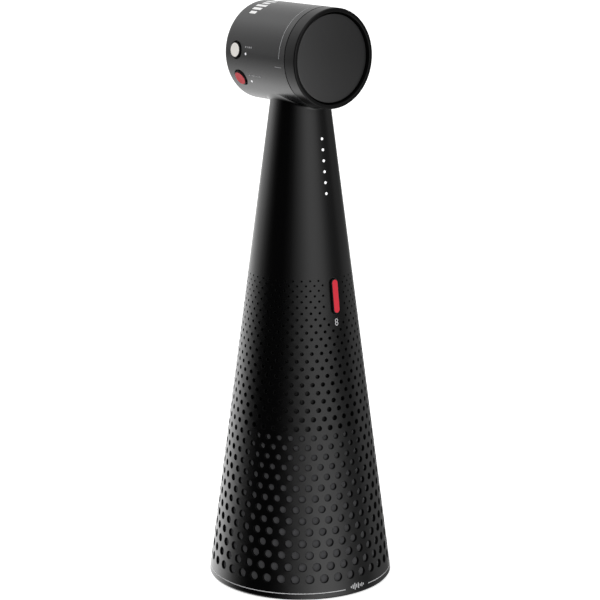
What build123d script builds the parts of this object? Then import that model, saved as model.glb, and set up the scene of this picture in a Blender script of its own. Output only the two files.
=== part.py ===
"""Conference speakerphone: a perforated conical body that carries a horizontal cylindrical head.

Millimetres, +Z up. The origin is the centre of the footprint, on the surface that the object
stands on. The front, with the volume knob, the level lights and the pairing button, faces -Y.
Each function makes one sub-part, and the last section writes one STEP file for each.
"""

from build123d import *
from math import atan, cos, degrees, pi, radians, sin
import os

# ---- driving dimensions -------------------------------------------------------------------

BASE_RADIUS = 48.0
NECK_RADIUS = 15.5
NECK_HEIGHT = 247.8
SLOPE = (BASE_RADIUS - NECK_RADIUS) / NECK_HEIGHT
TILT = degrees(atan(SLOPE))  # how far the cone's wall leans back from vertical
SHELL_BOTTOM = 0.8
WALL = 1.4
WALL_ACROSS = WALL / cos(radians(TILT))  # the wall measured square to the cone's axis

HEAD_HEIGHT = 273.3
HEAD_RADIUS = 25.0
HEAD_BORE = 23.4
HEAD_REAR = 30.3
HEAD_FRONT = -18.8
NECK_FLARE = 1.6

# pairing button on the front of the cone
SLOT_HEIGHT = 153.7
SLOT_WIDTH = 6.7
SLOT_LENGTH = 19.5
PILL_WIDTH = 4.2
PILL_LENGTH = 17.6
PILL_PROUD = 1.1

# level lights above it
LIGHT_COUNT = 6
LIGHT_TOP = 232.5
LIGHT_PITCH = 5.46
LIGHT_RADIUS = 0.72

# round buttons on the left side of the head: distance back and angle above the horizontal
BUTTON_BACK = 20.4
BUTTON_ANGLES = {"white": 4.6, "red": -29.1}
BUTTON_RADIUS = 3.8
BUTTON_HOLE = 4.65
BUTTON_PROUD = 0.75
STATUS_BACK = 12.35
STATUS_DROP = 3.1
STATUS_RADIUS = 0.6

# knob and centre disc
KNOB_FRONT = -26.75
KNOB_BACK = -19.1
KNOB_RADIUS = 24.95
KNOB_MOUTH = 22.8
DISC_RADIUS = 22.0
DISC_EDGE = -25.2
DISC_BACK = -24.0
DISC_DOME = 1.1

# sockets at the back
PORT_HEIGHT = 17.3
PORT_PANEL_WIDTH = 33.4
PORT_PANEL_HEIGHT = 9.4
PORT_FACE = 41.8
JACK_OFFSET = 11.5
JACK_BORE = 1.8
JACK_DEPTH = 12.0

# lower cabinet and the parts that stack on it
BASE_PLATE_TOP = 3.2
BAFFLE_BOTTOM = 30.0
BAFFLE_TOP = 33.0
CABINET_TOP = 84.0
CABINET_RADIUS = 33.0
CABINET_FLAT = 28.3
CABINET_WALL = 2.5
LEG_CIRCLE = 29.8
LEG_RADIUS = 2.9
FRAME_FLOOR_TOP = 86.5
FRAME_FRONT = -4.5
FRAME_BACK = -2.5
FRAME_TOP = 244.0

UP = (Align.CENTER, Align.CENTER, Align.MIN)


# ---- shared shapes ------------------------------------------------------------------------


def cone_radius(height):
    return BASE_RADIUS - SLOPE * height


def cone_solid(offset, low, high):
    """The cone's outside moved in or out by offset, between two heights."""
    return Solid.make_cone(
        cone_radius(low) + offset, cone_radius(high) + offset, high - low, Plane.XY.offset(low)
    )


def sleeve(outer_offset, thickness, low, high):
    return cone_solid(outer_offset, low, high) - cone_solid(outer_offset - thickness, low, high)


def wall_plane(height, angle=0.0, lift=0.0):
    """A plane on the cone's outside, z outwards; angle runs round from the front."""
    turn, lean = radians(angle), radians(TILT)
    outward = Vector(sin(turn) * cos(lean), -cos(turn) * cos(lean), sin(lean))
    radius = cone_radius(height)
    point = Vector(radius * sin(turn), -radius * cos(turn), height)
    return Plane(origin=point + outward * lift, x_dir=(cos(turn), sin(turn), 0), z_dir=outward)


def head_plane(back, angle, lift=0.0):
    """A plane on the left side of the head's outside, z outwards, x along the head."""
    turn = radians(angle)
    outward = Vector(-cos(turn), 0, sin(turn))
    point = Vector(0, back, HEAD_HEIGHT) + outward * (HEAD_RADIUS + lift)
    return Plane(origin=point, x_dir=(0, -1, 0), z_dir=outward)


def rod(plane, radius, low, high):
    """A cylinder along the plane's own z, between two distances from it."""
    return plane * Pos(0, 0, low) * Cylinder(radius, high - low, align=UP)


def block(plane, size_x, size_y, low, high):
    return plane * Pos(0, 0, low) * Box(size_x, size_y, high - low, align=UP)


def pill(plane, width, length, low, high):
    """A bar with round ends, long way along the plane's y."""
    outline = plane * Pos(0, 0, low) * SlotOverall(length, width, rotation=90)
    return extrude(outline, high - low)


def box_between(low, high):
    size = [b - a for a, b in zip(low, high)]
    return Pos(*low) * Box(*size, align=(Align.MIN, Align.MIN, Align.MIN))


def turned(points, axis_height=None):
    """Turns an outline of (radius, distance) points: round the head's axis, or round Z."""
    if axis_height is None:
        face = make_face(Polyline([(r, 0, d) for r, d in points], close=True))
        return revolve(face, Axis.Z)
    face = make_face(Polyline([(r, d, axis_height) for r, d in points], close=True))
    return revolve(face, Axis((0, 0, axis_height), (0, 1, 0)))


def head_ring(outer, inner, front, back):
    return turned([(inner, front), (outer, front), (outer, back), (inner, back)], HEAD_HEIGHT)


def head_disc(radius, front, back):
    return head_ring(radius, 0, front, back)


def around(radius, count, start=0.0):
    """Points evenly spaced on a circle, as (x, y)."""
    turns = [radians(start + 360 * i / count) for i in range(count)]
    return [(radius * cos(t), radius * sin(t)) for t in turns]


def group(shapes):
    return Compound(children=[s for shape in shapes for s in shape.solids()])


HEAD_AXIS = Plane(origin=(0, 0, HEAD_HEIGHT), x_dir=(1, 0, 0), z_dir=(0, 1, 0))
SLOT_PLANE = wall_plane(SLOT_HEIGHT)
LIGHT_MIDDLE = LIGHT_TOP - LIGHT_PITCH * (LIGHT_COUNT - 1) / 2
LIGHT_PLANE = wall_plane(LIGHT_MIDDLE)
LIGHT_STEP = LIGHT_PITCH / cos(radians(TILT))  # along the sloping wall


# ---- the cone's outside -------------------------------------------------------------------

def cone_shell():
    reach = HEAD_HEIGHT - 8
    head = rod(HEAD_AXIS, HEAD_RADIUS, HEAD_FRONT, HEAD_REAR)
    whole = cone_solid(0, SHELL_BOTTOM, reach) + head
    rim = [e for e in whole.edges() if abs(e.center().Z - NECK_HEIGHT) < 6 and e.geom_type != GeomType.CIRCLE]
    joint = [e for e in rim if abs(e.center().X) < NECK_RADIUS and abs(e.center().Y) < NECK_RADIUS]
    whole = whole.fillet(NECK_FLARE, joint)
    whole -= rod(HEAD_AXIS, HEAD_RADIUS + 0.02, HEAD_FRONT - 1, HEAD_REAR + 1)
    whole -= cone_solid(-WALL_ACROSS, SHELL_BOTTOM, reach)
    shell = max(whole.solids(), key=lambda s: s.volume)
    shell -= pill(SLOT_PLANE, SLOT_WIDTH, SLOT_LENGTH, -4, 2)
    for i in range(LIGHT_COUNT):
        step = LIGHT_STEP * (i - (LIGHT_COUNT - 1) / 2)
        shell -= rod(LIGHT_PLANE * Pos(0, step, 0), LIGHT_RADIUS + 0.08, -4, 2)
    shell -= port_opening(0.1)
    return max(shell.solids(), key=lambda s: s.volume)


def port_opening(gap, front=36.0, back=52.0):
    corner = 2.4
    plane = Plane(origin=(0, front, PORT_HEIGHT), x_dir=(1, 0, 0), z_dir=(0, 1, 0))
    outline = RectangleRounded(
        PORT_PANEL_WIDTH + 2 * gap, PORT_PANEL_HEIGHT + 2 * gap, corner + gap
    )
    return extrude(plane * outline, back - front)


# ---- base ---------------------------------------------------------------------------------

LEG_SPOTS = around(LEG_CIRCLE, 4, 45)
FOOT_OUTER = 43.5
FOOT_INNER = 37.0
FOOT_TOP = 1.8
POST_SPOTS = [(-6.0, 34.0), (6.0, 34.0)]
BOARD_BOTTOM = 13.2
BOARD_TOP = 14.8


def rubber_foot():
    edge = 0.4
    points = [
        (FOOT_INNER, FOOT_TOP),
        (FOOT_INNER, edge),
        (FOOT_INNER + edge, 0),
        (FOOT_OUTER - edge, 0),
        (FOOT_OUTER, edge),
        (FOOT_OUTER, FOOT_TOP),
    ]
    return turned(points)


def base_plate():
    plate = rod(Plane.XY, 46.0, SHELL_BOTTOM, BASE_PLATE_TOP)
    groove = rod(Plane.XY, FOOT_OUTER + 0.1, 0, FOOT_TOP) - rod(Plane.XY, FOOT_INNER - 0.1, 0, FOOT_TOP)
    plate -= groove
    for x, y in POST_SPOTS:
        post = Plane(origin=(x, y, 0))
        plate += rod(post, 2.4, BASE_PLATE_TOP - 0.5, BOARD_BOTTOM)
        plate += rod(post, 0.9, BOARD_BOTTOM - 0.5, BOARD_TOP + 0.7)
    for x, y in LEG_SPOTS:
        spot = Plane(origin=(x, y, 0))
        plate -= rod(spot, 1.45, 0, BASE_PLATE_TOP + 1)
        plate -= rod(spot, 2.8, 0, 2.1)
    return plate


def base_screw(x, y):
    spot = Plane(origin=(x, y, 0))
    screw = rod(spot, 2.5, 0.9, 2.1) + rod(spot, 1.2, 2.0, 10.0)
    return screw - rod(spot, 1.0, 0.5, 1.5)


def sound_deflector():
    """Spreads the down-firing driver's sound sideways: a cone with a hollow flank."""
    foot, tip, height = 18.0, 1.6, 17.0
    flank = ThreePointArc((foot, 0, BASE_PLATE_TOP + 1.2), (7.0, 0, 9.2), (tip, 0, BASE_PLATE_TOP + height))
    outline = flank + Polyline(
        (tip, 0, BASE_PLATE_TOP + height),
        (0, 0, BASE_PLATE_TOP + height),
        (0, 0, BASE_PLATE_TOP),
        (foot, 0, BASE_PLATE_TOP),
        (foot, 0, BASE_PLATE_TOP + 1.2),
    )
    return revolve(make_face(outline), Axis.Z)


# ---- sockets ------------------------------------------------------------------------------


def port_panel():
    """Recessed panel: a sleeve flush with the cone round a flat face with the sockets' holes."""
    panel = port_opening(0, front=40.0) & cone_solid(-0.05, 5, 35)
    pocket = Plane(origin=(0, PORT_FACE, PORT_HEIGHT), x_dir=(1, 0, 0), z_dir=(0, 1, 0))
    panel -= extrude(pocket * RectangleRounded(PORT_PANEL_WIDTH - 2.2, PORT_PANEL_HEIGHT - 2.2, 1.5), 10)
    for side in (-1, 1):
        hole = Plane(origin=(side * JACK_OFFSET, 38, PORT_HEIGHT), z_dir=(0, 1, 0))
        panel -= rod(hole, 3.0, 0, 6)
    usb = Plane(origin=(0, 38, PORT_HEIGHT), x_dir=(1, 0, 0), z_dir=(0, 1, 0))
    return panel - extrude(usb * SlotOverall(9.5, 3.8), 6)


def port_board():
    board = box_between((-16.2, 26.5, BOARD_BOTTOM), (16.2, 38.9, BOARD_TOP))
    for x, y in POST_SPOTS:
        board -= rod(Plane(origin=(x, y, 0)), 1.0, BOARD_BOTTOM - 1, BOARD_TOP + 1)
    return board


def usb_socket():
    """A steel sleeve with a contact tongue, on four solder legs."""
    plane = Plane(origin=(0, 33.0, PORT_HEIGHT), x_dir=(1, 0, 0), z_dir=(0, 1, 0))
    socket = extrude(plane * SlotOverall(9.2, 3.5), PORT_FACE - 33.0)
    socket -= extrude(plane.offset(1.4) * SlotOverall(8.5, 2.8), 10)
    socket += box_between((-3.3, 33.8, PORT_HEIGHT - 0.35), (3.3, PORT_FACE - 1.2, PORT_HEIGHT + 0.35))
    for x in (-3.2, 3.2):
        socket += box_between((x - 0.4, 37.0, BOARD_TOP), (x + 0.4, 38.6, PORT_HEIGHT - 1.5))
        socket += box_between((x - 0.4, 33.2, BOARD_TOP), (x + 0.4, 33.9, PORT_HEIGHT - 1.5))
    return socket


def audio_jack(side):
    x = side * JACK_OFFSET
    jack = box_between((x - 3.1, 27.8, BOARD_TOP), (x + 3.1, 39.9, PORT_HEIGHT + 2.6))
    axis = Plane(origin=(x, PORT_FACE, PORT_HEIGHT), z_dir=(0, 1, 0))
    jack += rod(axis, 2.85, -2.5, 0)
    return jack - rod(axis, JACK_BORE, -JACK_DEPTH, 1)


# ---- cloth and backing behind the holes ---------------------------------------------------

CLOTH_TOP = 85.6
CLOTH_BOTTOM = 4.0
BACKING_BOTTOM = 86.2
BACKING_TOP = 169.0
CLOTH_OFFSET = -WALL_ACROSS - 0.12
BACKING_OFFSET = -WALL_ACROSS - 0.9
BUTTON_BOX_WIDTH = 13.0
BUTTON_BOX_LENGTH = 26.0


def acoustic_cloth():
    cloth = sleeve(CLOTH_OFFSET, 0.6, CLOTH_BOTTOM, CLOTH_TOP)
    return cloth - port_opening(0.4)


def grille_backing():
    backing = sleeve(BACKING_OFFSET, 0.8, BACKING_BOTTOM, BACKING_TOP)
    window = block(SLOT_PLANE, BUTTON_BOX_WIDTH + 0.6, BUTTON_BOX_LENGTH + 0.6, -9, 1)
    return backing - window


# ---- lower cabinet with the driver --------------------------------------------------------


def cabinet_plan(radius, flat, low, high):
    round_part = rod(Plane.XY, radius, low, high)
    return round_part & box_between((-flat, -60, low), (flat, 60, high))


RADIATOR_HEIGHT = 59.0
RADIATOR_RADIUS = 15.4


def cabinet():
    body = cabinet_plan(CABINET_RADIUS, CABINET_FLAT, BAFFLE_TOP, CABINET_TOP)
    body -= cabinet_plan(
        CABINET_RADIUS - CABINET_WALL,
        CABINET_FLAT - CABINET_WALL,
        BAFFLE_TOP - 1,
        CABINET_TOP - CABINET_WALL,
    )
    through = Plane(origin=(-40, 0, RADIATOR_HEIGHT), z_dir=(1, 0, 0))
    body -= rod(through, RADIATOR_RADIUS - 2.0, 0, 80)
    for x, y in around(24.0, 4, 45):
        boss = Plane(origin=(x, y, 0))
        body += rod(boss, 3.0, CABINET_TOP - 9, CABINET_TOP - CABINET_WALL + 0.5)
        body -= rod(boss, 1.25, CABINET_TOP - 7, CABINET_TOP + 1)
    return body


def baffle():
    plate = cabinet_plan(CABINET_RADIUS, CABINET_FLAT, BAFFLE_BOTTOM, BAFFLE_TOP)
    plate -= rod(Plane.XY, 23.0, BAFFLE_BOTTOM - 1, BAFFLE_TOP + 1)
    for x, y in LEG_SPOTS:
        leg = Plane(origin=(x, y, 0))
        plate += rod(leg, LEG_RADIUS, BASE_PLATE_TOP, BAFFLE_BOTTOM + 0.5)
        plate -= rod(leg, 1.25, BASE_PLATE_TOP - 1, 11.5)
    for x, y in DRIVER_SCREWS:
        plate -= rod(Plane(origin=(x, y, 0)), 1.0, BAFFLE_BOTTOM - 1, BAFFLE_BOTTOM + 2)
    return plate


DRIVER_SCREWS = around(24.6, 4, 0)
DRIVER_FACE = 28.4


def driver_basket():
    """Pressed frame that faces down: a flange, four spokes' worth of open sides and a seat."""
    flange = turned([(22.9, DRIVER_FACE), (26.6, DRIVER_FACE), (26.6, 29.9), (22.9, 29.9)])
    funnel = turned(
        [(21.2, 29.0), (22.9, 29.0), (22.4, 31.5), (15.4, 45.2), (9.0, 45.2), (9.0, 44.0), (14.6, 44.0)]
    )
    funnel += turned([(21.2, 28.9), (23.4, 28.9), (23.4, 29.9), (21.2, 29.9)])
    for angle in range(0, 360, 60):
        window = Plane(origin=(0, 0, 37.6), z_dir=(cos(radians(angle)), sin(radians(angle)), 0))
        funnel -= window * Pos(0, 0, 10) * Box(8.0, 8.0, 16, align=UP)
    basket = flange + funnel
    for x, y in DRIVER_SCREWS:
        basket -= rod(Plane(origin=(x, y, 0)), 1.05, DRIVER_FACE - 1, 31)
    return basket


def driver_surround():
    """Rubber roll between the flange and the diaphragm."""
    outer, inner, sheet = 22.7, 17.0, 0.5
    middle, roll = (outer + inner) / 2, 1.9
    low = Polyline((inner, 0, DRIVER_FACE), (middle - roll, 0, DRIVER_FACE))
    low += ThreePointArc(
        (middle - roll, 0, DRIVER_FACE), (middle, 0, DRIVER_FACE - roll), (middle + roll, 0, DRIVER_FACE)
    )
    top = DRIVER_FACE + sheet
    low += Polyline(
        (middle + roll, 0, DRIVER_FACE),
        (outer, 0, DRIVER_FACE),
        (outer, 0, top),
        (middle + roll - sheet, 0, top),
    )
    low += ThreePointArc(
        (middle + roll - sheet, 0, top),
        (middle, 0, top - roll + 0.1),
        (middle - roll + sheet, 0, top),
    )
    low += Polyline((middle - roll + sheet, 0, top), (inner, 0, top), (inner, 0, DRIVER_FACE))
    return revolve(make_face(low), Axis.Z)


def driver_cone():
    """Paper cone with its domed dust cap, opening downwards."""
    cone = turned([(16.9, DRIVER_FACE), (16.9, DRIVER_FACE + 0.6), (6.5, 38.0), (6.5, 37.3)])
    cap = Pos(0, 0, 49.7) * (Sphere(15.1) - Sphere(14.6))
    return cone + (cap & rod(Plane.XY, 7.3, 34, 38))


def voice_coil():
    return turned([(6.6, 38.0), (7.2, 38.0), (7.2, 47.6), (6.6, 47.6)])


def driver_magnet():
    """Top plate, ring magnet and back plate with its pole, with the coil's gap left open."""
    magnet = rod(Plane.XY, 15.6, 45.3, 57.0) + rod(Plane.XY, 17.4, 47.3, 54.6)
    gap = rod(Plane.XY, 7.7, 44, 50) - rod(Plane.XY, 6.1, 44, 50)
    magnet -= gap
    return magnet - rod(Plane.XY, 1.6, 56, 58)


def driver_screw(x, y):
    spot = Plane(origin=(x, y, 0))
    head = rod(spot, 1.7, DRIVER_FACE - 1.0, DRIVER_FACE)
    return head + rod(spot, 0.9, DRIVER_FACE - 0.5, BAFFLE_BOTTOM + 1.5)


def passive_radiator(side):
    """Rubber roll and weighted plate on one flat of the cabinet."""
    base = CABINET_FLAT
    points = [
        (0, base + 0.3),
        (9.2, base + 0.3),
        (9.2, base),
        (RADIATOR_RADIUS, base),
        (RADIATOR_RADIUS, base + 1.0),
        (13.6, base + 1.0),
        (12.8, base + 1.9),
        (11.2, base + 2.2),
        (9.9, base + 1.5),
        (9.2, base + 1.3),
        (8.6, base + 1.6),
        (0, base + 1.6),
    ]
    face = make_face(Polyline([(x, r, 0) for r, x in points], close=True))
    solid = revolve(face, Axis((0, 0, 0), (1, 0, 0)))
    placed = Pos(0, 0, RADIATOR_HEIGHT) * solid
    return placed if side > 0 else Pos(0, 0, RADIATOR_HEIGHT) * Rot(0, 180, 0) * solid


# ---- inner frame, battery and main board --------------------------------------------------

BOARD_SPOTS = [(-13.0, 98.0), (13.0, 98.0), (-13.0, 150.0), (13.0, 150.0)]
BOARD_FRONT = -9.0
BOARD_BACK = -7.4
NECK_SCREW_SPOTS = [(-5.6, 239.0), (5.6, 239.0)]


def inner_frame():
    """Moulded spine: a round floor on the cabinet, an upright plate and a rib for the lights."""
    frame = rod(Plane.XY, 29.0, CABINET_TOP, FRAME_FLOOR_TOP)
    outline = Polyline(
        (-20.0, FRAME_BACK, FRAME_FLOOR_TOP - 1),
        (20.0, FRAME_BACK, FRAME_FLOOR_TOP - 1),
        (17.0, FRAME_BACK, 168.0),
        (9.0, FRAME_BACK, 226.0),
        (8.6, FRAME_BACK, FRAME_TOP),
        (-8.6, FRAME_BACK, FRAME_TOP),
        (-9.0, FRAME_BACK, 226.0),
        (-17.0, FRAME_BACK, 168.0),
        close=True,
    )
    frame += extrude(make_face(outline), FRAME_BACK - FRAME_FRONT, dir=(0, -1, 0))
    rib_low, rib_high = LIGHT_MIDDLE - 16, LIGHT_MIDDLE + 14
    rib = make_face(
        Polyline(
            (-1, FRAME_FRONT + 0.5, rib_low),
            (-1, FRAME_FRONT + 0.5, rib_high),
            (-1, -(cone_radius(rib_high) - 4.9), rib_high),
            (-1, -(cone_radius(rib_low) - 4.9), rib_low),
            close=True,
        )
    )
    frame += extrude(rib, 2, dir=(1, 0, 0))
    frame -= box_between((-4.5, -6, 174), (4.5, 0, 200))
    for x, z in BOARD_SPOTS:
        post = Plane(origin=(x, FRAME_FRONT + 0.5, z), z_dir=(0, -1, 0))
        frame += rod(post, 2.3, 0, FRAME_FRONT + 0.5 - BOARD_BACK)
        frame -= rod(post, 0.9, -3, 8)
    for x, z in NECK_SCREW_SPOTS:
        frame -= rod(Plane(origin=(x, 0, z), z_dir=(0, -1, 0)), 1.1, 0, 8)
    for x, y in around(24.0, 4, 45):
        frame -= rod(Plane(origin=(x, y, 0)), 1.45, CABINET_TOP - 1, FRAME_FLOOR_TOP + 1)
    return frame


def frame_screw(x, y):
    spot = Plane(origin=(x, y, 0))
    return rod(spot, 2.5, FRAME_FLOOR_TOP, FRAME_FLOOR_TOP + 1.4) + rod(
        spot, 1.2, CABINET_TOP - 6, FRAME_FLOOR_TOP + 0.2
    )


CELL_RADIUS = 9.2
CELL_X = 9.6
CELL_Y = 8.5
CELL_BOTTOM = 90.0
CELL_LENGTH = 65.0


def battery_cell(side):
    spot = Plane(origin=(side * CELL_X, CELL_Y, 0))
    cell = rod(spot, CELL_RADIUS, CELL_BOTTOM, CELL_BOTTOM + CELL_LENGTH - 1.2)
    return cell + rod(spot, 2.9, CELL_BOTTOM + 60, CELL_BOTTOM + CELL_LENGTH)


def battery_bracket():
    """Two straps round the pair of cells, each on a foot against the upright plate."""
    straps = []
    spread = 2 * CELL_X
    for low in (96.0, 138.0):
        plane = Plane(origin=(0, CELL_Y, low))
        inner = SlotCenterToCenter(spread, 2 * (CELL_RADIUS + 0.1))
        outer = SlotCenterToCenter(spread, 2 * (CELL_RADIUS + 1.1))
        strap = extrude(plane * (outer - inner), 8.0)
        foot = box_between((-12.0, FRAME_BACK, low), (12.0, -0.9, low + 8.0))
        hollow = extrude(plane * inner, 8.0)
        straps.append(strap + (foot - hollow))
    return group(straps)


def main_board():
    board = box_between((-16.0, BOARD_FRONT, 92.0), (16.0, BOARD_BACK, 166.0))
    for x, z in BOARD_SPOTS:
        board -= rod(Plane(origin=(x, 0, z), z_dir=(0, -1, 0)), 1.1, 5, 11)
    return board


def board_parts():
    """Processor, amplifier, coils, capacitors and plug headers on the board's front."""
    chips = [
        ((-10.0, 118.0), (12.0, 12.0, 1.3)),
        ((6.0, 116.0), (7.0, 7.0, 1.0)),
        ((9.5, 104.5), (6.0, 6.0, 3.0)),
        ((-2.5, 104.5), (6.0, 6.0, 3.0)),
        ((-5.0, 92.4), (10.0, 3.6, 4.2)),
        ((7.0, 92.4), (8.0, 3.6, 4.2)),
        ((-4.0, 161.0), (8.0, 3.4, 2.4)),
        ((7.5, 127.0), (3.2, 1.6, 0.9)),
        ((7.5, 130.5), (3.2, 1.6, 0.9)),
    ]
    made = []
    for (x, z), (width, height, depth) in chips:
        made.append(box_between((x, BOARD_FRONT - depth, z), (x + width, BOARD_FRONT, z + height)))
    for x in (-12.0, -8.6):
        can = Plane(origin=(x, BOARD_FRONT, 106.5), z_dir=(0, -1, 0))
        made.append(rod(can, 1.5, 0, 3.2))
    return group(made)


def radio_shield():
    can = box_between((-9.0, BOARD_FRONT - 2.0, 135.0), (5.0, BOARD_FRONT, 152.0))
    return can - box_between((-8.7, BOARD_FRONT - 1.7, 135.3), (4.7, BOARD_FRONT + 1, 151.7))


def board_screw(x, z):
    spot = Plane(origin=(x, BOARD_FRONT, z), z_dir=(0, -1, 0))
    return rod(spot, 1.8, 0, 1.1) + rod(spot, 0.8, -5.5, 0.5)


# ---- pairing button -----------------------------------------------------------------------

FRAME_DEPTH = -7.5
FLANGE_TOP = -3.2


def button_frame():
    """Housing behind the slot, with a lip that lines it."""
    outer = block(SLOT_PLANE, BUTTON_BOX_WIDTH, BUTTON_BOX_LENGTH, FRAME_DEPTH, 1)
    body = outer & cone_solid(-WALL_ACROSS - 0.06, SLOT_HEIGHT - 25, SLOT_HEIGHT + 25)
    body += pill(SLOT_PLANE, SLOT_WIDTH - 0.14, SLOT_LENGTH - 0.14, -2.6, -0.35)
    body -= pill(SLOT_PLANE, PILL_WIDTH + 0.9, PILL_LENGTH + 0.8, -5, 2)
    inside = block(
        SLOT_PLANE, BUTTON_BOX_WIDTH - 2, BUTTON_BOX_LENGTH - 2, FRAME_DEPTH - 1, FLANGE_TOP + 0.1
    )
    return body - inside


def pairing_button():
    """Black carrier: a flange behind the lip and a stem into the switch."""
    flange = pill(SLOT_PLANE, 8.6, 21.6, FLANGE_TOP - 0.9, FLANGE_TOP)
    neck = pill(SLOT_PLANE, PILL_WIDTH, PILL_LENGTH, FLANGE_TOP - 0.2, -0.5)
    return flange + neck + rod(SLOT_PLANE, 1.1, -6.2, FLANGE_TOP - 0.5)


def pairing_cap():
    cap = pill(SLOT_PLANE, PILL_WIDTH, PILL_LENGTH, -0.5, PILL_PROUD)
    top = [e for e in cap.edges() if SLOT_PLANE.to_local_coords(e.center()).Z > PILL_PROUD - 0.05]
    return cap.fillet(0.55, top)


def pairing_switch():
    switch = block(SLOT_PLANE, 4.6, 4.6, FRAME_DEPTH, -5.3)
    return switch - rod(SLOT_PLANE, 1.25, -7.1, -5)


def pairing_board():
    return block(SLOT_PLANE, BUTTON_BOX_WIDTH - 0.6, BUTTON_BOX_LENGTH - 0.6, FRAME_DEPTH - 1.0, FRAME_DEPTH)


# ---- level lights -------------------------------------------------------------------------


def light_steps():
    return [LIGHT_STEP * (i - (LIGHT_COUNT - 1) / 2) for i in range(LIGHT_COUNT)]


def light_guide():
    guide = block(LIGHT_PLANE, 3.2, 31.5, -2.9, -1.9)
    for step in light_steps():
        guide += rod(LIGHT_PLANE * Pos(0, step, 0), LIGHT_RADIUS, -2.2, 0.03)
    return guide


def light_chips():
    return group([block(LIGHT_PLANE * Pos(0, step, 0), 1.6, 0.9, -3.7, -3.1) for step in light_steps()])


def light_board():
    return block(LIGHT_PLANE * Pos(0, -1.0, 0), 6.0, 31.0, -4.7, -3.7)


# ---- neck ---------------------------------------------------------------------------------

NECK_TUBE_OUTER = 13.2
NECK_TUBE_INNER = 11.4
NECK_TUBE_BOTTOM = 234.0


def neck_bracket():
    """Ties the head to the inner frame: a tube through the neck under a saddle flange."""
    inside_head = rod(HEAD_AXIS, HEAD_BORE - 0.05, -14.4, 17)
    bracket = rod(Plane.XY, NECK_TUBE_OUTER, NECK_TUBE_BOTTOM, 252.5)
    saddle = rod(Plane.XY, 16.0, 246, 252.5) & inside_head
    bracket += saddle
    bracket -= rod(Plane.XY, NECK_TUBE_INNER, NECK_TUBE_BOTTOM - 1, 254)
    web = box_between((-12.0, FRAME_BACK + 0.02, 234.5), (12.0, 0.4, 243.5))
    bracket += web & rod(Plane.XY, NECK_TUBE_INNER + 0.5, 230, 250)
    bracket &= cone_solid(-WALL_ACROSS - 0.1, 230, 254) + box_between((-20, -20, 247), (20, 20, 260))
    for x, z in NECK_SCREW_SPOTS:
        bracket -= rod(Plane(origin=(x, 0, z), z_dir=(0, -1, 0)), 0.8, -1, 5)
    return bracket


def neck_screw(x, z):
    spot = Plane(origin=(x, FRAME_FRONT, z), z_dir=(0, -1, 0))
    return rod(spot, 1.8, 0, 1.2) + rod(spot, 0.75, -4.4, 0.5)


# ---- head ---------------------------------------------------------------------------------

NECK_OPENING = 13.5
REAR_LIP = 22.8
REAR_SHOULDER = 27.0
RIM_ROUND = 1.8


def head_tube():
    tube = rod(HEAD_AXIS, HEAD_RADIUS, HEAD_FRONT, HEAD_REAR)
    rear = [e for e in tube.edges() if e.center().Y > HEAD_REAR - 0.01]
    tube = tube.fillet(RIM_ROUND, rear)
    front = [e for e in tube.edges() if e.center().Y < HEAD_FRONT + 0.01]
    tube = tube.fillet(0.3, front)
    tube -= rod(HEAD_AXIS, HEAD_BORE, HEAD_FRONT - 1, REAR_SHOULDER)
    tube -= rod(HEAD_AXIS, REAR_LIP, REAR_SHOULDER - 1, HEAD_REAR + 1)
    tube -= rod(Plane.XY, NECK_OPENING, HEAD_HEIGHT - 30, HEAD_HEIGHT - 15)
    for angle in BUTTON_ANGLES.values():
        tube -= rod(head_plane(BUTTON_BACK, angle), BUTTON_HOLE, -4, 2)
        tube -= rod(head_plane(STATUS_BACK, angle - STATUS_DROP), STATUS_RADIUS + 0.07, -4, 2)
    return tube


MIC_SPOTS = around(12.0, 4, 45)


def rear_disc():
    points = [
        (0, 27.4),
        (21.0, 27.4),
        (21.0, 26.4),
        (23.2, 26.4),
        (23.2, 26.95),
        (22.25, 26.95),
        (22.25, 28.7),
        (21.9, 29.1),
        (0, 29.5),
    ]
    disc = turned(points, HEAD_HEIGHT)
    for x, z in MIC_SPOTS:
        disc -= rod(HEAD_AXIS * Pos(x, z, 0), 0.6, 26, 31)
    return disc


def mic_board():
    board = head_disc(15.0, 22.0, 23.2)
    return board - head_disc(4.0, 21.0, 24.0)


def mic_capsules():
    return group([block(HEAD_AXIS * Pos(x, z, 0), 3.6, 2.8, 23.2, 24.3) for x, z in MIC_SPOTS])


def mic_gasket():
    gasket = head_ring(14.6, 9.4, 24.3, 27.3)
    for x, z in MIC_SPOTS:
        gasket -= rod(HEAD_AXIS * Pos(x, z, 0), 0.9, 23, 28)
    return gasket


# ---- round side buttons -------------------------------------------------------------------

CARRIER_OUTER = 23.25
CARRIER_INNER = 20.8
SWITCH_FLOOR = -7.0
BUTTON_FLANGE = 4.5
BUTTON_BOARD_WIDTH = 8.8
BUTTON_BOARD_LENGTH = 15.3
BUTTON_BOARD_MIDDLE = 18.6
BOARD_LEG = 1.1


def side_board_plane(angle):
    return head_plane(BUTTON_BOARD_MIDDLE, angle)


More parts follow.
